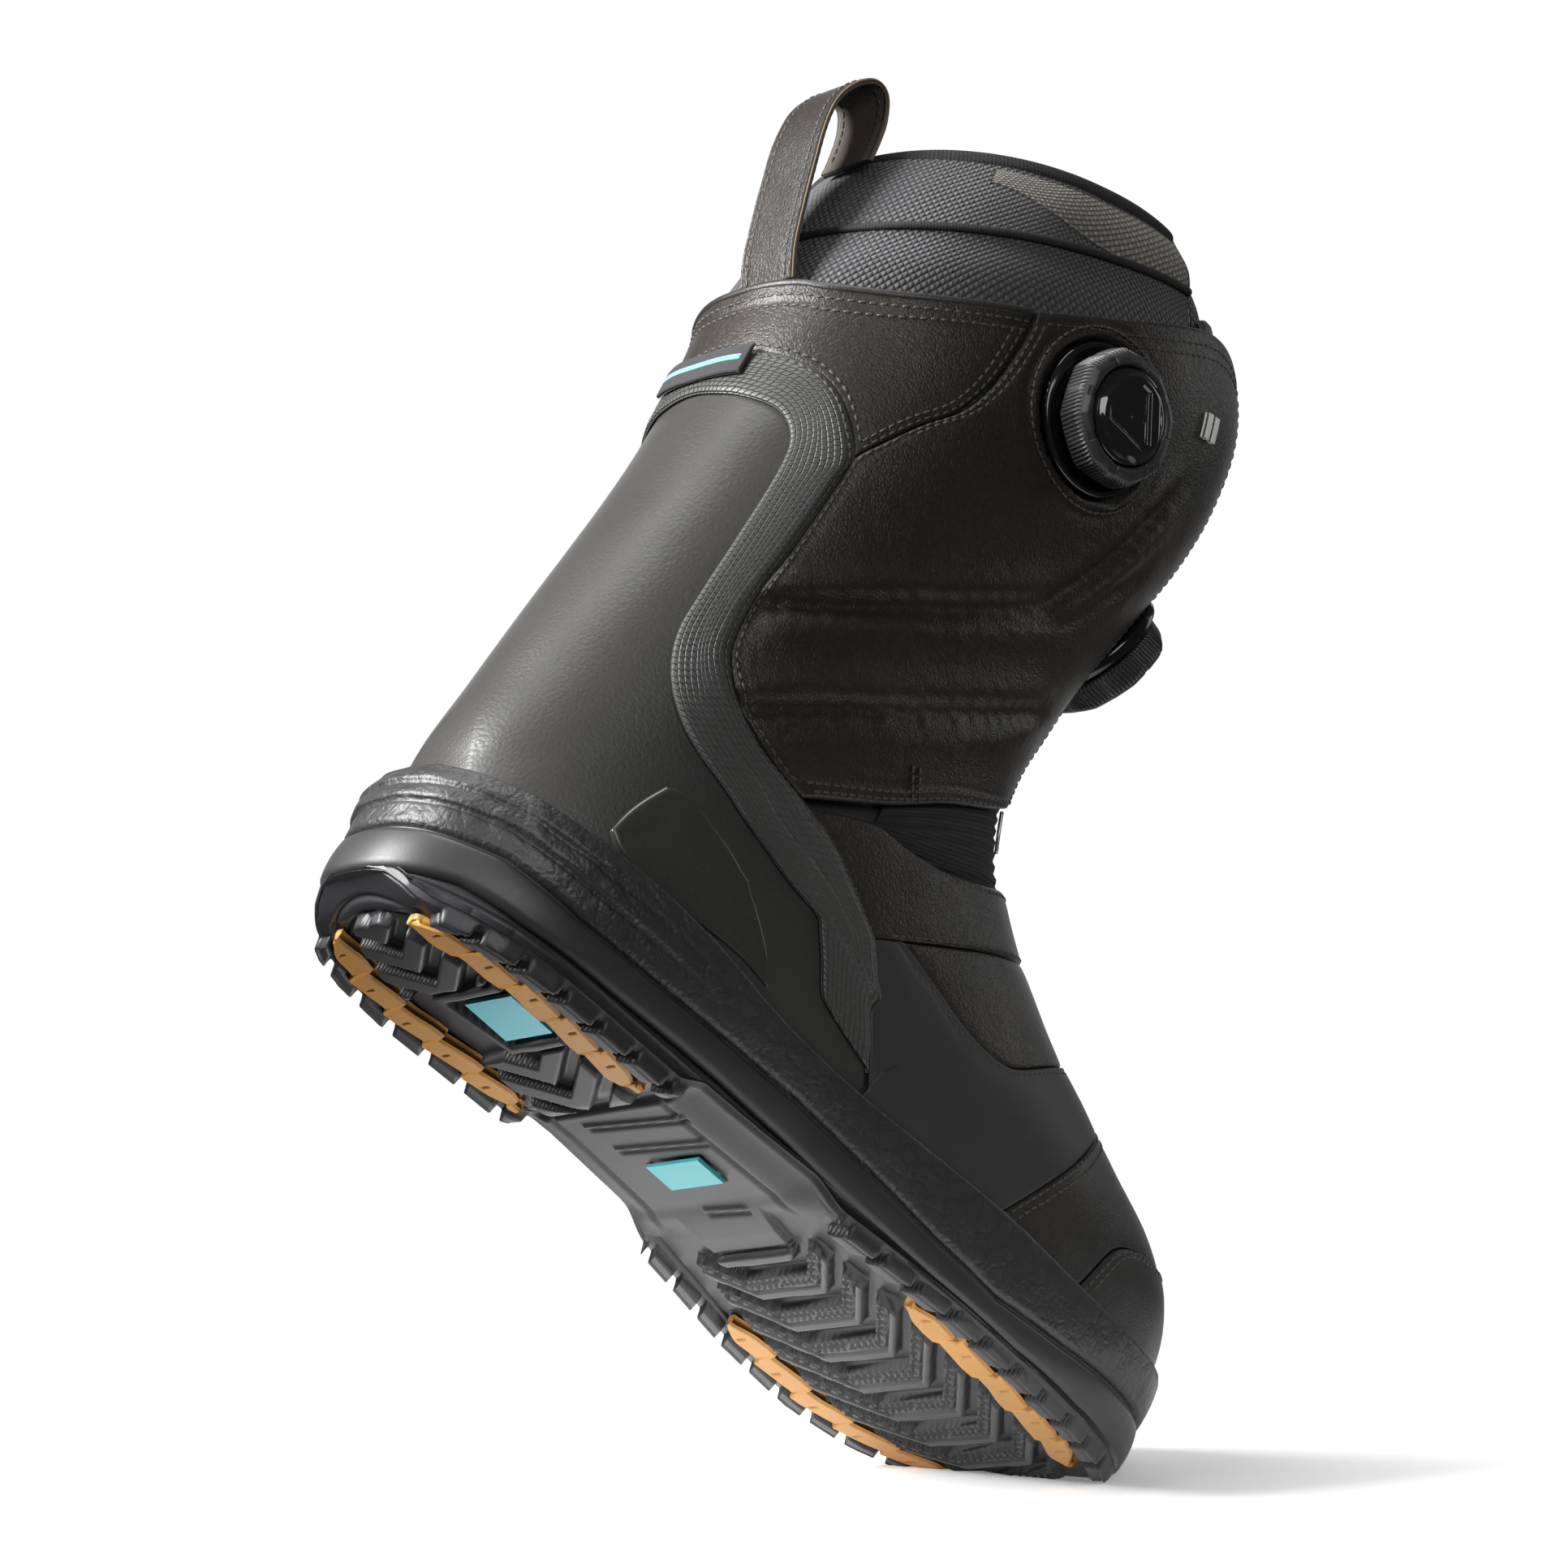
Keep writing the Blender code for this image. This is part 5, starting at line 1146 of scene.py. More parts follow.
def revolve(name, frame_, profile, mat, radial=None, steps=None, uv_scale=1.0, closed_profile=True):
    """Ring of sections: profile (r, h) points; radial(theta, r, h, k) may change the radius and the height."""
    steps = steps or int(220/FINE)
    a = np.linspace(0, 2*np.pi, steps, endpoint=False)
    prof = np.asarray(profile, float)
    r, h = np.meshgrid(prof[:, 0], a, indexing="ij")[0], np.meshgrid(prof[:, 1], a, indexing="ij")[0]
    A = np.broadcast_to(a, r.shape)
    if radial is not None:
        r, h = radial(A, r, h, np.arange(len(prof))[:, None] + 0*r)
    pts = np.stack([r*np.cos(A), r*np.sin(A), h], -1)
    n = len(prof)
    faces = [quads(n, steps, True)]
    if closed_profile:
        k = np.arange(steps)
        faces.append(np.stack([(n - 1)*steps + k, (n - 1)*steps + (k + 1) % steps, (k + 1) % steps, k], -1))
    uvs = np.stack([A*18, metres_of(prof)[:, None] + 0*A], -1)
    return build(name, place_in(frame_, pts).reshape(-1, 3), faces, mat, uv=uvs.reshape(-1, 2))


def fine_profile(points, step=.6):
    pts = [np.asarray(points[0], float)]
    for a, b in zip(points, points[1:]):
        a, b = np.asarray(a, float), np.asarray(b, float)
        k = max(1, int(np.linalg.norm(b - a)/step))
        pts += [a + (b - a)*j/k for j in range(1, k + 1)]
    return np.array(pts)


def polygon_radius(A, sides, flat, turn=0.0, soft=.12):
    """Radius of a rounded regular polygon, as a share of its corner radius."""
    w = 2*np.pi/sides
    f = np.mod(A - turn + w/2, w) - w/2
    return 1/np.maximum(np.cos(f), 1e-3)*(np.cos(w/2))*(1 - flat) + flat


def dial(prefix, frame_, body, knob_body, slider_body, reel_body, base_low, tilt):
    # dished glossy base with a moulded lip
    prof = fine_profile([(12.0, base_low), (21.0, base_low), (21.9, base_low + .5), (22.2, 1.2), (21.9, 1.9), (21.2, 2.3), (20.4, 2.1), (19.6, 1.5), (18.2, 1.15),
                         (15.0, 1.1), (12.9, 1.4), (12.7, 2.6), (12.6, 6.2), (11.3, 6.2), (11.2, 1.2), (3.3, 1.1), (3.3, base_low)], .7)

    def base_shape(A, r, h, k):
        # two straps of the housing that run out to the rim
        web = np.exp(-(np.mod(A + .5*np.pi, np.pi) - np.pi/2)**2/.10)
        h = h + np.where((r > 13.2) & (r < 20.6) & (h < 2.4) & (h > .9), web*1.2, 0)
        return r, h
    ride(revolve(prefix + "_housing", frame_, prof, M_HOUSING, base_shape), body, [prefix + "_base"])

    # ribbed rubber ring: eight soft corners, slanted ribs on the side, a stepped bevel in front
    prof = fine_profile([(14.3, 4.1), (18.4, 4.1), (19.2, 4.7), (19.5, 5.6), (19.5, 10.6), (19.1, 11.6), (18.1, 12.6), (16.9, 13.3), (16.0, 13.5), (14.9, 13.45),
                         (14.4, 12.9), (14.3, 11.0)], .45)

    def ring_shape(A, r, h, k):
        oct_ = polygon_radius(A, 8, .35, tilt)
        side_ = smoothstep(r, 18.0, 19.3)*band_mask(h, 4.9, 11.9, .5)
        gaps = np.abs(np.sin(4*(A - tilt)))**.35                     # ribs stop at the corners
        rib = .42*np.sin(A*96 + h*1.15)*gaps
        r2 = r*(1 + (oct_ - 1)*smoothstep(r, 14.6, 17.5)*.9) + side_*rib
        face = smoothstep(h, 12.2, 13.2)*smoothstep(r, 18.6, 17.5)
        return r2, h - .35*face*(np.abs(np.sin(4*(A - tilt))) < .33)
    ride(revolve(prefix + "_ribbed_ring", frame_, prof, M_GRIP, ring_shape, steps=int(960/FINE)), knob_body, [prefix + "_grip_ring"])

    # glossy centre: three lobes round a facetted triangular recess
    rad = np.concatenate([np.linspace(.02, 5.0, 8), np.linspace(5.2, 13.7, 56)])
    steps = int(300/FINE)
    a = np.linspace(0, 2*np.pi, steps, endpoint=False)
    r, A = np.meshgrid(rad, a, indexing="ij")
    turn = tilt + .35
    cosines = [np.cos(A - turn - k*2*np.pi/3) for k in range(3)]
    corner = [np.cos(A - turn - np.pi/3 - k*2*np.pi/3) for k in range(3)]
    d_in = np.maximum(np.max([r*c for c in cosines], 0) - 6.3, np.max([r*c for c in corner], 0) - 9.6)     # three sides with cut corners
    h = 15.35 - .95*smoothstep(d_in, .45, -.45) - .25*smoothstep(np.abs(d_in + 1.25), .28, 0)
    h = h - 1.5*smoothstep(r, 10.6, 13.7)**1.3 - .55*smoothstep(np.max([r*c for c in cosines], 0), 9.4, 11.2)
    top_pts = np.stack([r*np.cos(A), r*np.sin(A), h], -1)
    low_ring = np.stack([13.75*np.cos(a), 13.75*np.sin(a), 9.4 + 0*a], -1)[None]
    low_centre = np.stack([.02*np.cos(a), .02*np.sin(a), 9.4 + 0*a], -1)[None]
    pts = np.concatenate([top_pts, low_ring, low_centre])
    faces = [quads(len(pts), steps, True)]
    k = np.arange(steps)
    last_r = (len(pts) - 1)*steps
    faces.append(np.stack([last_r + k, last_r + (k + 1) % steps, (k + 1) % steps, k], -1))
    obj = build(prefix + "_glossy_cap", place_in(frame_, pts).reshape(-1, 3), faces, M_GLOSS)
    ride(obj, knob_body, [prefix + "_cap", prefix + "_screw"])

dial("upper_dial", surface_frame(*DIAL_UV), "lateral_flap", "upper_dial_knob", "upper_dial_slider", "upper_dial_reel", -.9, .25)
dial("front_dial", surface_frame(.300, 0.0, -.9), "tongue", "front_dial_knob", "front_dial_slider", "front_dial_reel", -1.6, .1)

# light badge on the cuff: a generic slanted double bar
uv = coons([(.146, .163), (.146, .148)], [(.163, .160), (.163, .145)], [(.146, .163), (.163, .160)], [(.146, .148), (.163, .145)], 21)
for k, (s0, s1) in enumerate(((.02, .42), (.58, .98))):
    p = Panel(uv[:, int(s0*20):int(s1*20) + 1], 3.2, gap=.05, roll=.35, puff=.1)
    obj = p.make(f"cuff_badge_bar_{k + 1}", M_BADGE, .8, 1.6)
    ride(obj, "lateral_flap", ["cuff_badge"])



# ---- sole -------------------------------------------------------------------------------------------------------------------
GROOVE_Z = np.array([(-4, 23.5), (4, 23.7), (17, 24.0), (25, 22.6), (42, 20.4), (65, 20.6), (97, 21.3), (123, 21.0), (150, 18.6), (177, 15.2), (202, 13.2),
                     (228, 16.3), (255, 21.6), (275, 26), (290, 30), (302, 33)])
RUBBER_Z = np.array([(-4, 8.5), (4, 10.2), (12, 11.6), (20, 10.9), (30, 10.0), (60, 10.2), (85, 11.2), (101, 11.4), (126, 10.2), (154, 7.2), (182, 5.2),
                     (215, 4.6), (245, 7.2), (270, 12), (285, 16.5), (302, 21)])


def curve_of(table):
    def f(x):
        return np.interp(x, table[:, 0], table[:, 1])
    return f


groove_z, rubber_z = curve_of(GROOVE_Z), curve_of(RUBBER_Z)


def springs(x):
    return 14*np.maximum(0.0, (np.asarray(x, float) - 215)/85)**2


def arches(x):
    x = np.asarray(x, float)
    return 3.6*smoothstep(x, 88, 98)*(1 - smoothstep(x, 137, 151))


def around(table, heel, toe, extra=0.0):
    """Closed line round the sole from a table of x, lateral, medial (and z): starts at the heel's middle, lateral side first."""
    rows_ = []
    z = table[:, 3] if table.shape[1] > 3 else np.zeros(len(table))
    rows_.append((heel[0], heel[1], z[0]))
    rows_ += [(r[0], r[1] - extra, k) for r, k in zip(table, z)]
    rows_.append((toe[0], toe[1], z[-1]))
    rows_ += [(r[0], r[2] + extra, k) for r, k in zip(table[::-1], z[::-1])]
    p = np.array(rows_)
    ends = np.vstack([p[-1], p, p[:2]])
    out = []
    t = np.linspace(0, 1, 25)[:-1, None]
    for i in range(1, len(ends) - 2):
        a, b, c, d = ends[i - 1:i + 3]
        out.append(.5*((2*b) + (c - a)*t + (2*a - 5*b + 4*c - d)*t*t + (3*b - a - 3*c + d)*t**3))
    return np.vstack(out)


bottom = around(OUTLINE, (-4.1, 1.0), (301.1, 7.5))
lip = around(LIP, (-4.1, 1.0), (301.3, 8.0))
middle = (bottom + lip)/2
length = metres_of(np.vstack([middle, middle[:1]]))
count = int(length[-1]/(1.5*FINE)/2)*2
at_even = np.linspace(0, length[-1], count, endpoint=False)


def even(line):
    closed = np.vstack([line, line[:1]])
    return np.stack([np.interp(at_even, length, closed[:, k]) for k in range(3)], -1)


bottom, lip = even(bottom), even(lip)
smooth_kernel = np.array([1, 3, 5, 7, 9, 7, 5, 3, 1.0])
smooth_kernel /= smooth_kernel.sum()


def soften(line, times=2):
    for _ in range(times):
        pad = np.vstack([line[-4:], line, line[:4]])
        line = np.stack([np.convolve(pad[:, k], smooth_kernel, "valid") for k in range(line.shape[1])], -1)
    return line


bottom, lip = soften(bottom, 3), soften(lip, 3)
# keep the overall length after smoothing
for line in (bottom, lip):
    line[:, 0] = -4.0 + (line[:, 0] - line[:, 0].min())*(305.0/(line[:, 0].max() - line[:, 0].min()))
flat_tangent = np.roll(lip, -1, 0) - np.roll(lip, 1, 0)
flat_tangent[:, 2] = 0
flat_tangent /= np.linalg.norm(flat_tangent, axis=1)[:, None]
outward_flat = np.stack([-flat_tangent[:, 1], flat_tangent[:, 0], np.zeros(count)], -1)
if ((outward_flat * (lip - lip.mean(0))).sum(1)).mean() < 0:
    outward_flat = -outward_flat
perimeter = at_even


def wall(frac_z, push, z=None):
    """Ring of the side wall at a height given per sample, pushed outwards by push millimetres."""
    low = rubber_z(bottom[:, 0])
    f = np.clip((frac_z - low)/(lip[:, 2] - low), 0, 1.2)[:, None]
    xy = bottom*(1 - f) + lip*f
    out = xy.copy()
    out[:, 2] = frac_z
    return out + outward_flat*np.asarray(push)[..., None] if np.ndim(push) else out + outward_flat*push


x_here = (bottom[:, 0] + lip[:, 0])/2
zg, zr, zl = groove_z(x_here), rubber_z(x_here) + 0, lip[:, 2]
# the lip's edge rises and dips in straight stretches
heel_share = smoothstep(x_here, 92, 40)
rows_mm = []
loops_, where_w = [], []
below = [(-1.0, 0.0), (-.9, .0), (-.8, .55), (-.55, 1.05), (-.25, 1.35), (0.0, 1.5)]
levels = []
for k in np.linspace(0, 1, 15):                    # lower band, from the rubber's edge to the groove
    z = zr + .6 + (zg - .9 - zr - .6)*k
    bulge = 1.25*np.sin(np.pi*np.clip(.12 + .80*k, 0, 1))**.7 - 1.1*smoothstep(k, .12, 0) - .7*smoothstep(k, .93, 1.0)
    levels.append((z, bulge + 0*z, k*.35))
for dz, dip in ((-.55, -.9), (-.3, -1.5), (.0, -1.65), (.3, -1.5), (.55, -.8)):
    levels.append((zg + dz, dip + 0*zg + .2, .35 + dz*.02))
for k in np.linspace(0, 1, 30):                    # upper band, from the groove to the lip
    z = zg + .85 + (zl - 1.5 - zg - .85)*k
    face = .75*np.sin(np.pi*(.15 + .75*k)) - .55*smoothstep(k, .06, 0)
    # two soft steps round the heel
    heel = 1.15*smoothstep(k, .36, .42)*smoothstep(k, 1.0, .40)*1.0 - .9*np.exp(-((k - .385)/.035)**2) + .9*smoothstep(k, .66, .72)*smoothstep(k, 1.05, .8) \
        - .8*np.exp(-((k - .70)/.03)**2)
    levels.append((z, face + heel*heel_share, .38 + .62*k))
grid_rows = []
for z, push, share in levels:
    ring = wall(z, push)
    grid_rows.append(ring)
grid_rows = np.array(grid_rows)
shares = np.array([s for _, _, s in levels])
# leathery creases on the upper band, stronger at the heel
P = grid_rows
upper_band = smoothstep(shares, .40, .5)[:, None]
crease = wobble(P*[1, 1, 2.2], 15, 31, 3)*.30 + wobble(P*[1, 1, .6], 7.5, 33, 2)*.15
grid_rows = P + outward_flat[None]*(upper_band*crease*(.45 + .9*heel_share[None]))[..., None]
top = []
last_ring = grid_rows[-1]
for a in np.linspace(0, 1, 7)[1:]:                 # rounded rim, then in behind the upper
    r = 1.5
    top.append(last_ring + outward_flat*(-r*(1 - math.cos(a*math.pi/2))) + np.array([0, 0, 1.0])*(r*math.sin(a*math.pi/2)))
top.append(top[-1] - outward_flat*3.2 - [0, 0, .3])
floor_ring = top[-1].copy()
floor_ring[:, 2] = 15 + springs(floor_ring[:, 0])*.8
floor_ring -= outward_flat*1.5
top.append(floor_ring)
under = [grid_rows[0] - outward_flat*2.6, grid_rows[0] - outward_flat*6.0 + [0, 0, .5]]
under.reverse()
all_rings = np.concatenate([np.array(under), grid_rows, np.array(top)])
R_, C_ = all_rings.shape[:2]
half = C_//2
i_ = np.arange(1, half - 1)


def bridge(first):
    """Strip of quads between the lateral and the medial side of one ring."""
    quad = np.stack([first + i_, first + i_ + 1, first + C_ - i_ - 1, first + C_ - i_], -1)
    ends = np.array([[first, first + 1, first + C_ - 1], [first + half, first + half + 1, first + half - 1]])
    return quad, ends


b0, e0 = bridge(0)
b1, e1 = bridge((R_ - 1)*C_)
v_rows = np.concatenate([[0, 1], 2 + shares*38, 41 + np.arange(len(top))])
uv_ = np.stack(np.meshgrid(v_rows, perimeter, indexing="ij")[::-1], -1)
side_faces = quads(R_, C_, True)
eva = build("midsole_wall", all_rings.reshape(-1, 3), [side_faces, b0[:, ::-1], e0[:, ::-1], b1, e1], [M_EVA, M_EVA_PLAIN], uv=uv_.reshape(-1, 2),
            mat_index=np.concatenate([(side_faces[:, 0]//C_ < 20).astype(int), np.ones(len(b0) + 2 + len(b1) + 2, int)]))
ride(eva, "boot", ["midsole"])

# rubber side band, from the walking surface up to its edge on the midsole
rim = []
low_z = springs(bottom[:, 0]) + arches(bottom[:, 0])
heel_up = 5.5*smoothstep(bottom[:, 0], 9, -4)
toe_up = 3.5*smoothstep(bottom[:, 0], 284, 301)
base_z = low_z + heel_up + toe_up
arch_in = smoothstep(bottom[:, 0], 88, 100)*(1 - smoothstep(bottom[:, 0], 138, 152))
for inward, k in ((9.0, -.55), (4.0, -.55), (2.6, -.35), (1.7, -.1), (1.0, .25), (.55, .6), (.35, .85), (.5, .97), (1.2, 1.03), (4.0, 1.0), (9.0, .9)):
    if k < 0:
        z = base_z + 3.6 + k*1.0 + arch_in*1.2
    else:
        z = base_z + 3.1 + (zr - base_z - 3.1)*k
    ring = bottom - outward_flat*(inward + arch_in*2.2*(1 - max(k, 0)))[..., None] if np.ndim(arch_in) else bottom
    ring = ring.copy()
    ring[:, 2] = z
    rim.append(ring)
rim = np.array(rim)
rim_obj = build("outsole_side_band", rim.reshape(-1, 3), [quads(len(rim), C_, True),
                np.stack([(len(rim) - 1)*C_ + np.arange(C_), (len(rim) - 1)*C_ + (np.arange(C_) + 1) % C_, (np.arange(C_) + 1) % C_, np.arange(C_)], -1)],
                M_RUBBER, uv=np.stack(np.meshgrid(np.arange(len(rim))*2.0, perimeter, indexing="ij")[::-1], -1).reshape(-1, 2))
ride(rim_obj, "boot", ["outsole"])


# ---- tread ---------------------------------------------------------------------------------------------------------------
def tread(x, y, yl, ym):
    """How far the surface lies above the walking plane: 0 on the lugs, up to 4 mm between them."""
    el, em = y - yl, ym - y
    e = np.minimum(el, em)
    lateral = el < em
    deep = 3.5
    lug = np.zeros_like(x)
    mid_y = (yl + ym)/2
    c = np.abs(y - mid_y)
    in_heel = band_mask(x, 8, 93, .6)
    in_fore = band_mask(x, 151, 293, .6)
    # blocks along the edges
    slant = x + .55*e*np.where(lateral, 1, 1)
    edge_lug = bars(slant + 3, 13.2, .80)*band_mask(e, .8, 7.0)
    lug = np.maximum(lug, edge_lug*(in_heel*smoothstep(x, 12, 13) + in_fore))
    # heel: nested chevrons and a frame round the window
    chev = x - 38 + .75*c
    heel_mid = band_mask(e, 20.5, 99)*in_heel
    lug = np.maximum(lug, heel_mid*bars(x + .7*c - 9, 12.5, .62)*(1 - band_mask(x, 38, 66, .3)))
    frame_box = np.maximum(np.abs(x - 52)*1.0 - 9.8, np.abs(y + 12) - 12.2 + .25*(x - 52))
    lug = np.maximum(lug, band_mask(frame_box, .4, 3.4)*in_heel)
    # forefoot: chevron rows whose arms point to the heel
    arm = np.maximum(0, c - 13.5)
    row_x = x + 1.05*arm - 152
    row_at = np.mod(row_x, 15.2)
    row = bars(row_x, 15.2, .66)*band_mask(e, 19.6, 99)*band_mask(x, 158, 284, .6)
    lug = np.maximum(lug, row)
    pad = band_mask(x, 132, 157, .5)*band_mask(c, -1, 19 - .12*(x - 132))
    lug = np.maximum(lug, pad*.55)
    arch_zone = smoothstep(x, 93, 97)*(1 - smoothstep(x, 140, 150))
    z = deep*(1 - lug)
    # thin slot and a lower band with zigzags on each chevron
    z = z + row*1.0*band_mask(row_at, 5.6, 6.6, .25) + row*.8*band_mask(row_at, .9, 4.6, .25)*(.55 + .45*np.sign(np.sin((c*1.0 + 1.6*tri_wave(row_at, 3.4))*2*np.pi/2.6)))
    z = z + .5*edge_lug*band_mask(e, 2.4, 3.3, .2)
    # raised waist: smooth, with thin cross ridges
    z = z*(1 - arch_zone) + arch_zone*.0
    for bx, b0_, b1_ in ((76.5, -30, -6), (87.5, -33, 0), (101.5, -30, 10), (112, -27, 8), (140.5, -17, 0)):
        inside = band_mask(y, b0_, b1_, .6)
        slope = x - bx + .06*(y + 12)
        z = z - inside*np.where(arch_zone > .3, 1, .0)*.9*np.exp(-((slope)/.75)**2) + inside*.8*np.exp(-((slope - 1.9)/.8)**2)*np.where(arch_zone > .3, 1, 0)
    flange = smoothstep(e, 13.5, 1.0)*arch_zone
    z = z + flange*3.6 + arch_zone*1.1*np.exp(-((e - 14.5)/1.0)**2)
    # channels of the softer strips, and the window's pocket
    strip = band_mask(e, 7.4, 18.4)*(band_mask(x, 9, 90, .4) + band_mask(x, 184, 273, .4))
    z = np.where(strip > .5, deep + .4, z)
    z = z + band_mask(x, 43.6, 60.4, .2)*band_mask(y, -22.4, -1.6, .2)*(-z + 2.5)
    plate = band_mask(x, 118.2, 129.3, .2)*band_mask(y, -20.4, 2.4, .2)
    z = z + plate*1.3
    # bevelled back of the heel, with two crescents, and the toe
    z = z + 6.0*smoothstep(x, 10.5, -4)**1.4
    rr = np.hypot(x - 34, (y - 1)*1.05)
    z = z + .9*(np.exp(-((rr - 30.5)/.7)**2) + np.exp(-((rr - 26.5)/.5)**2))*smoothstep(x, 18, 12)
    z = z + 3.4*smoothstep(x, 286, 301)
    z = z + 1.8*smoothstep(e, 1.6, .0)
    return z


lat = bottom[:half + 1]
med = np.vstack([bottom[:1], bottom[:half - 1:-1]])
fine_i = np.linspace(0, half, int(half*1.5/(.62*FINE)) + 1)
lat = np.stack([np.interp(fine_i, np.arange(half + 1), lat[:, k]) for k in range(3)], -1)
med = np.stack([np.interp(fine_i, np.arange(half + 1), med[:, k]) for k in range(3)], -1)
across_n = int(106/(.62*FINE))
w = (.5 - .5*np.cos(np.linspace(0, np.pi, across_n)))*.25 + np.linspace(0, 1, across_n)*.75
X = lat[:, None, 0]*(1 - w) + med[:, None, 0]*w
Y = lat[:, None, 1]*(1 - w) + med[:, None, 1]*w
yl_x = np.interp(X, OUTLINE[:, 0], OUTLINE[:, 1])
ym_x = np.interp(X, OUTLINE[:, 0], OUTLINE[:, 2])
Z = springs(X) + arches(X) + tread(X, Y, yl_x, ym_x)
sole_down = np.stack([X, Y, Z], -1)
sole_up = np.stack([X, Y, np.maximum(Z + .8, springs(X) + 9.0)], -1)
tread_obj = shell("outsole_tread", sole_down, sole_up, M_RUBBER, uv=np.stack([X, Y], -1))
ride(tread_obj, "boot", ["outsole"])

# softer strips: toothed edges, block tops with a slot, and a slight step from block to block
for name, x0, x1, sign in (("heel_grip_lateral", 10.8, 87.2, -1), ("heel_grip_medial", 10.8, 87.2, 1), ("forefoot_grip_lateral", 185.8, 271.2, -1),
                           ("forefoot_grip_medial", 185.8, 271.2, 1)):
    n_x, n_y = int((x1 - x0)/(.45*FINE)), int(15/(.45*FINE))
    xs = np.linspace(x0, x1, n_x)
    ks = np.linspace(0, 1, n_y)
    column = 1 if sign < 0 else 2
    edge_y = np.interp(xs, OUTLINE[:, 0], OUTLINE[:, column])
    period = 14.6 if "heel" in name else 17.0
    f = np.mod((xs - x0)/period, 1.0)
    saw = (f*3.4 - 1.2)*smoothstep(f, 0, .05)*(1 - smoothstep(f, .95, 1.0)*0)
    outer_in = 7.4 + np.clip(saw, -1, 2.6)*.85
    inner_in = 18.3 - np.clip(2.2 - f*3.6, -.4, 2.6)*.95
    narrow = .25 + .75*smoothstep(xs, x0 - 1, x0 + 9)*smoothstep(xs, x1 + 1, x1 - 9)
    centre_in = (outer_in + inner_in)/2
    outer_in, inner_in = centre_in + (outer_in - centre_in)*narrow, centre_in + (inner_in - centre_in)*narrow
    y_out, y_in = edge_y - sign*outer_in, edge_y - sign*inner_in
    X2 = np.repeat(xs[:, None], n_y, 1)
    Y2 = y_out[:, None]*(1 - ks) + y_in[:, None]*ks
    F = np.repeat(f[:, None], n_y, 1)
    side_d = np.minimum(ks, 1 - ks)[None]*np.abs(y_in - y_out)[:, None]
    z = springs(X2) + .05 + .9*smoothstep(side_d, .7, 0)**1.5
    gap_mask = band_mask(F, .0, .07, .02)
    z = z + 1.5*gap_mask*band_mask(np.repeat(ks[None], n_x, 0), .0, .32, .03)
    z = z + .8*band_mask(F, .42, .47, .015)*band_mask(np.repeat(ks[None], n_x, 0), .22, .55, .03)
    z = z + .35*F
    grip_top = np.stack([X2, Y2, z], -1)
    grip_in = np.stack([X2, Y2, springs(X2) + 3.4], -1)
    ride(shell(name + "_blocks", grip_top, grip_in, M_GUM, uv=np.stack([X2, Y2], -1)), "boot", [name])



# ---- sew the threads ---------------------------------------------------------------------------------------------------
for key in list(THREADS):
    obj = sew(key, "stitching_" + key, M_THREAD)
    if key == "flap_lateral":
        bend(obj)
    elif key == "flap_medial":
        bend(obj)
    elif key == "tongue":
        bend_tongue(obj)
    elif key == "dial_ring":
        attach(obj, "lateral_flap")
    else:
        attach(obj, key.split("__")[0])



# ---- every CAD node that still shows gets its own procedural material --------------------------------------------------
NODE_MATS = {"footbed": M_FOOTBED, "insole_board": M_BOARD, "shank": M_NYLON, "outsole": M_RUBBER, "midsole": M_EVA_PLAIN, "heel_window": M_TEAL,
             "arch_plate": M_TEAL_MATT, "liner_body": M_KNIT_IN, "liner_tongue": M_KNIT_IN, "shell_tongue": M_TONGUE, "pull_loop": M_EDGE,
             "cuff_badge": M_BADGE, "liner_binding": M_BINDING, "tongue_binding": M_BINDING}
for node_name, node_obj in frame["nodes"].items():
    mat = NODE_MATS.get(node_name)
    if mat is None:
        mat = (M_GUM if "forefoot_grip" in node_name or "heel_grip" in node_name else M_STEEL if "screw" in node_name or "lace_" in node_name and "guide" not in node_name
               else M_GRIP if "grip_ring" in node_name else M_GLOSS if "cap" in node_name and "dial" in node_name
               else M_HOUSING if "base" in node_name else M_NYLON)
    if not node_obj.hide_render:
        node_obj.data.materials.clear()
        node_obj.data.materials.append(mat)

# ---- camera, floor and light ------------------------------------------------------------------------------------------
scene = bpy.context.scene
RIGHT, DOWN, FORWARD = np.array([.652, -.645, .399]), np.array([.617, .145, -.774]), np.array([.441, .750, .492])
RIGHT, DOWN, FORWARD = (v/np.linalg.norm(v) for v in (RIGHT, DOWN, FORWARD))
EYE = np.array([-529.8, -1072.5, -582.3])
camera_data = bpy.data.cameras.new("camera")
camera_data.sensor_width = 36
camera_data.lens = 36*6309.3/1932
camera_data.clip_start, camera_data.clip_end = .05, 20
camera = bpy.data.objects.new("camera", camera_data)
scene.collection.objects.link(camera)
m = Matrix(((RIGHT[0], -DOWN[0], -FORWARD[0]), (RIGHT[1], -DOWN[1], -FORWARD[1]), (RIGHT[2], -DOWN[2], -FORWARD[2]))).to_4x4()
camera.matrix_world = Matrix.Translation(Vector(world(EYE))) @ m
scene.camera = camera

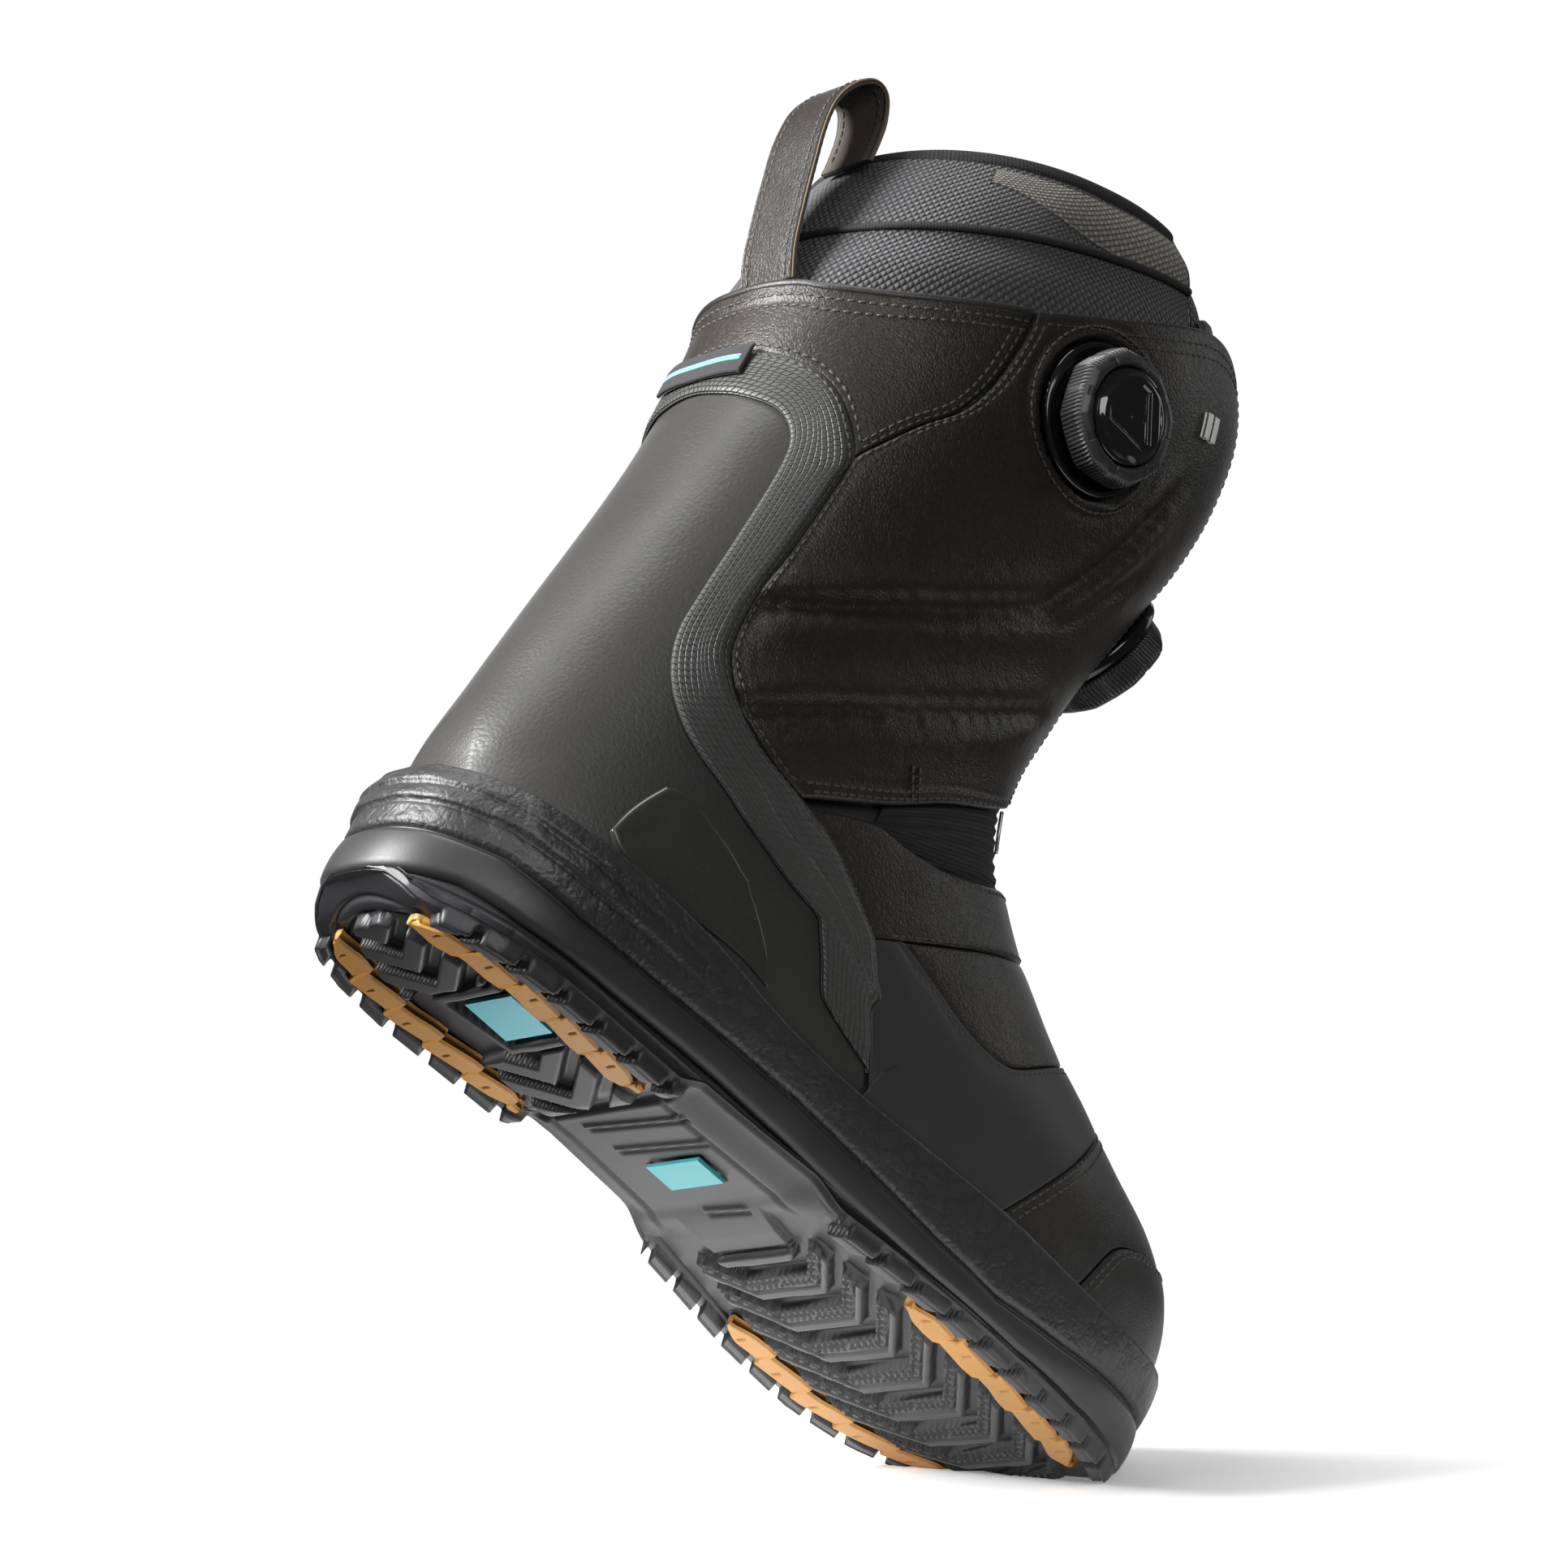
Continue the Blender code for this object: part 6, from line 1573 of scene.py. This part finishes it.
UP = -DOWN
lowest = np.array([278.0, -8.0, 8.6])
side_dir = RIGHT
back_dir = np.cross(UP, RIGHT)
flat = []
for a, b in ((-1, -1), (1, -1), (1, 1), (-1, 1)):
    flat.append(lowest - UP*1.0 + side_dir*a*1500 + back_dir*b*1500)
floor_mat = Mat("floor_pale")
tree = floor_mat.tree
geo = floor_mat.node("ShaderNodeNewGeometry", None)
clear = floor_mat.node("ShaderNodeBsdfTransparent", 0)
mixer = floor_mat.node("ShaderNodeMixShader", None)
away = floor_mat.node("ShaderNodeVectorMath", 1, {"operation": "DISTANCE"}, i0=geo.outputs["Position"], i1=tuple(float(v) for v in world(lowest)))
# painted contact shadow: the floor's glow is weaker near the boot's lowest point
glow_with_painted_shadow = floor_mat.remap(away, .02, .16, .20, .60)
floor_mat.done((.88, .88, .88), .9, Specular_IOR_Level=.1, Emission_Color=(1.0, 1.0, 1.0), Emission_Strength=glow_with_painted_shadow)
fade = floor_mat.node("ShaderNodeMapRange", props={"interpolation_type": "SMOOTHSTEP"}, Value=away, From_Min=.10, From_Max=.30, To_Min=0.0, To_Max=1.0)
tree.links.new(floor_mat.math("MAXIMUM", geo.outputs["Backfacing"], fade), mixer.inputs[0])
tree.links.new(floor_mat.bsdf.outputs[0], mixer.inputs[1])
tree.links.new(clear, mixer.inputs[2])
tree.links.new(mixer.outputs[0], tree.nodes["Material Output"].inputs[0])
floor = build("studio_floor", np.array(flat), [np.array([[0, 1, 2, 3]])], floor_mat.mat, flip=False, smooth=False)
if floor.data.polygons[0].normal.dot(Vector(UP)) < 0:
    floor.data.flip_normals()

back_world = bpy.data.worlds.new("studio")
scene.world = back_world
back_world.use_nodes = True
wt = back_world.node_tree
bg = wt.nodes["Background"]
tc = wt.nodes.new("ShaderNodeTexCoord")
dot = wt.nodes.new("ShaderNodeVectorMath")
dot.operation = "DOT_PRODUCT"
wt.links.new(tc.outputs["Generated"], dot.inputs[0])
dot.inputs[1].default_value = tuple(FORWARD)
fall = wt.nodes.new("ShaderNodeMapRange")
fall.interpolation_type = "SMOOTHSTEP"
wt.links.new(dot.outputs["Value"], fall.inputs["Value"])
fall.inputs["From Min"].default_value, fall.inputs["From Max"].default_value = .80, .985
fall.inputs["To Min"].default_value, fall.inputs["To Max"].default_value = .055, 1.02
bg.inputs["Color"].default_value = (1, 1, 1, 1)
wt.links.new(fall.outputs[0], bg.inputs["Strength"])


def area(name, direction, distance_m, size, power, size_y=None, target=(140, 0, 150)):
    data = bpy.data.lights.new(name, "AREA")
    data.shape, data.size, data.size_y = "RECTANGLE", size, size_y or size
    data.energy = power
    light = bpy.data.objects.new(name, data)
    scene.collection.objects.link(light)
    d = Vector(direction).normalized()
    light.location = Vector(world(target)) + d*distance_m
    light.rotation_euler = d.to_track_quat("Z", "Y").to_euler()
    return light


def toward(up, right, camera_side):
    return tuple(UP*up + RIGHT*right - FORWARD*camera_side)


area("key", toward(.66, -1.0, .34), 1.15, .50, 50, .8)
area("top", toward(1.0, -.10, -.10), 1.1, .5, 6)
area("rim", toward(.30, 1.0, -.55), 1.3, .5, 1.2)
area("low", toward(-.80, -.45, .40), 1.3, .6, 1.0)
area("front", toward(.50, .30, 1.0), 1.5, .7, 8)
scene.view_settings.view_transform = "Standard"
scene.view_settings.look = "None"
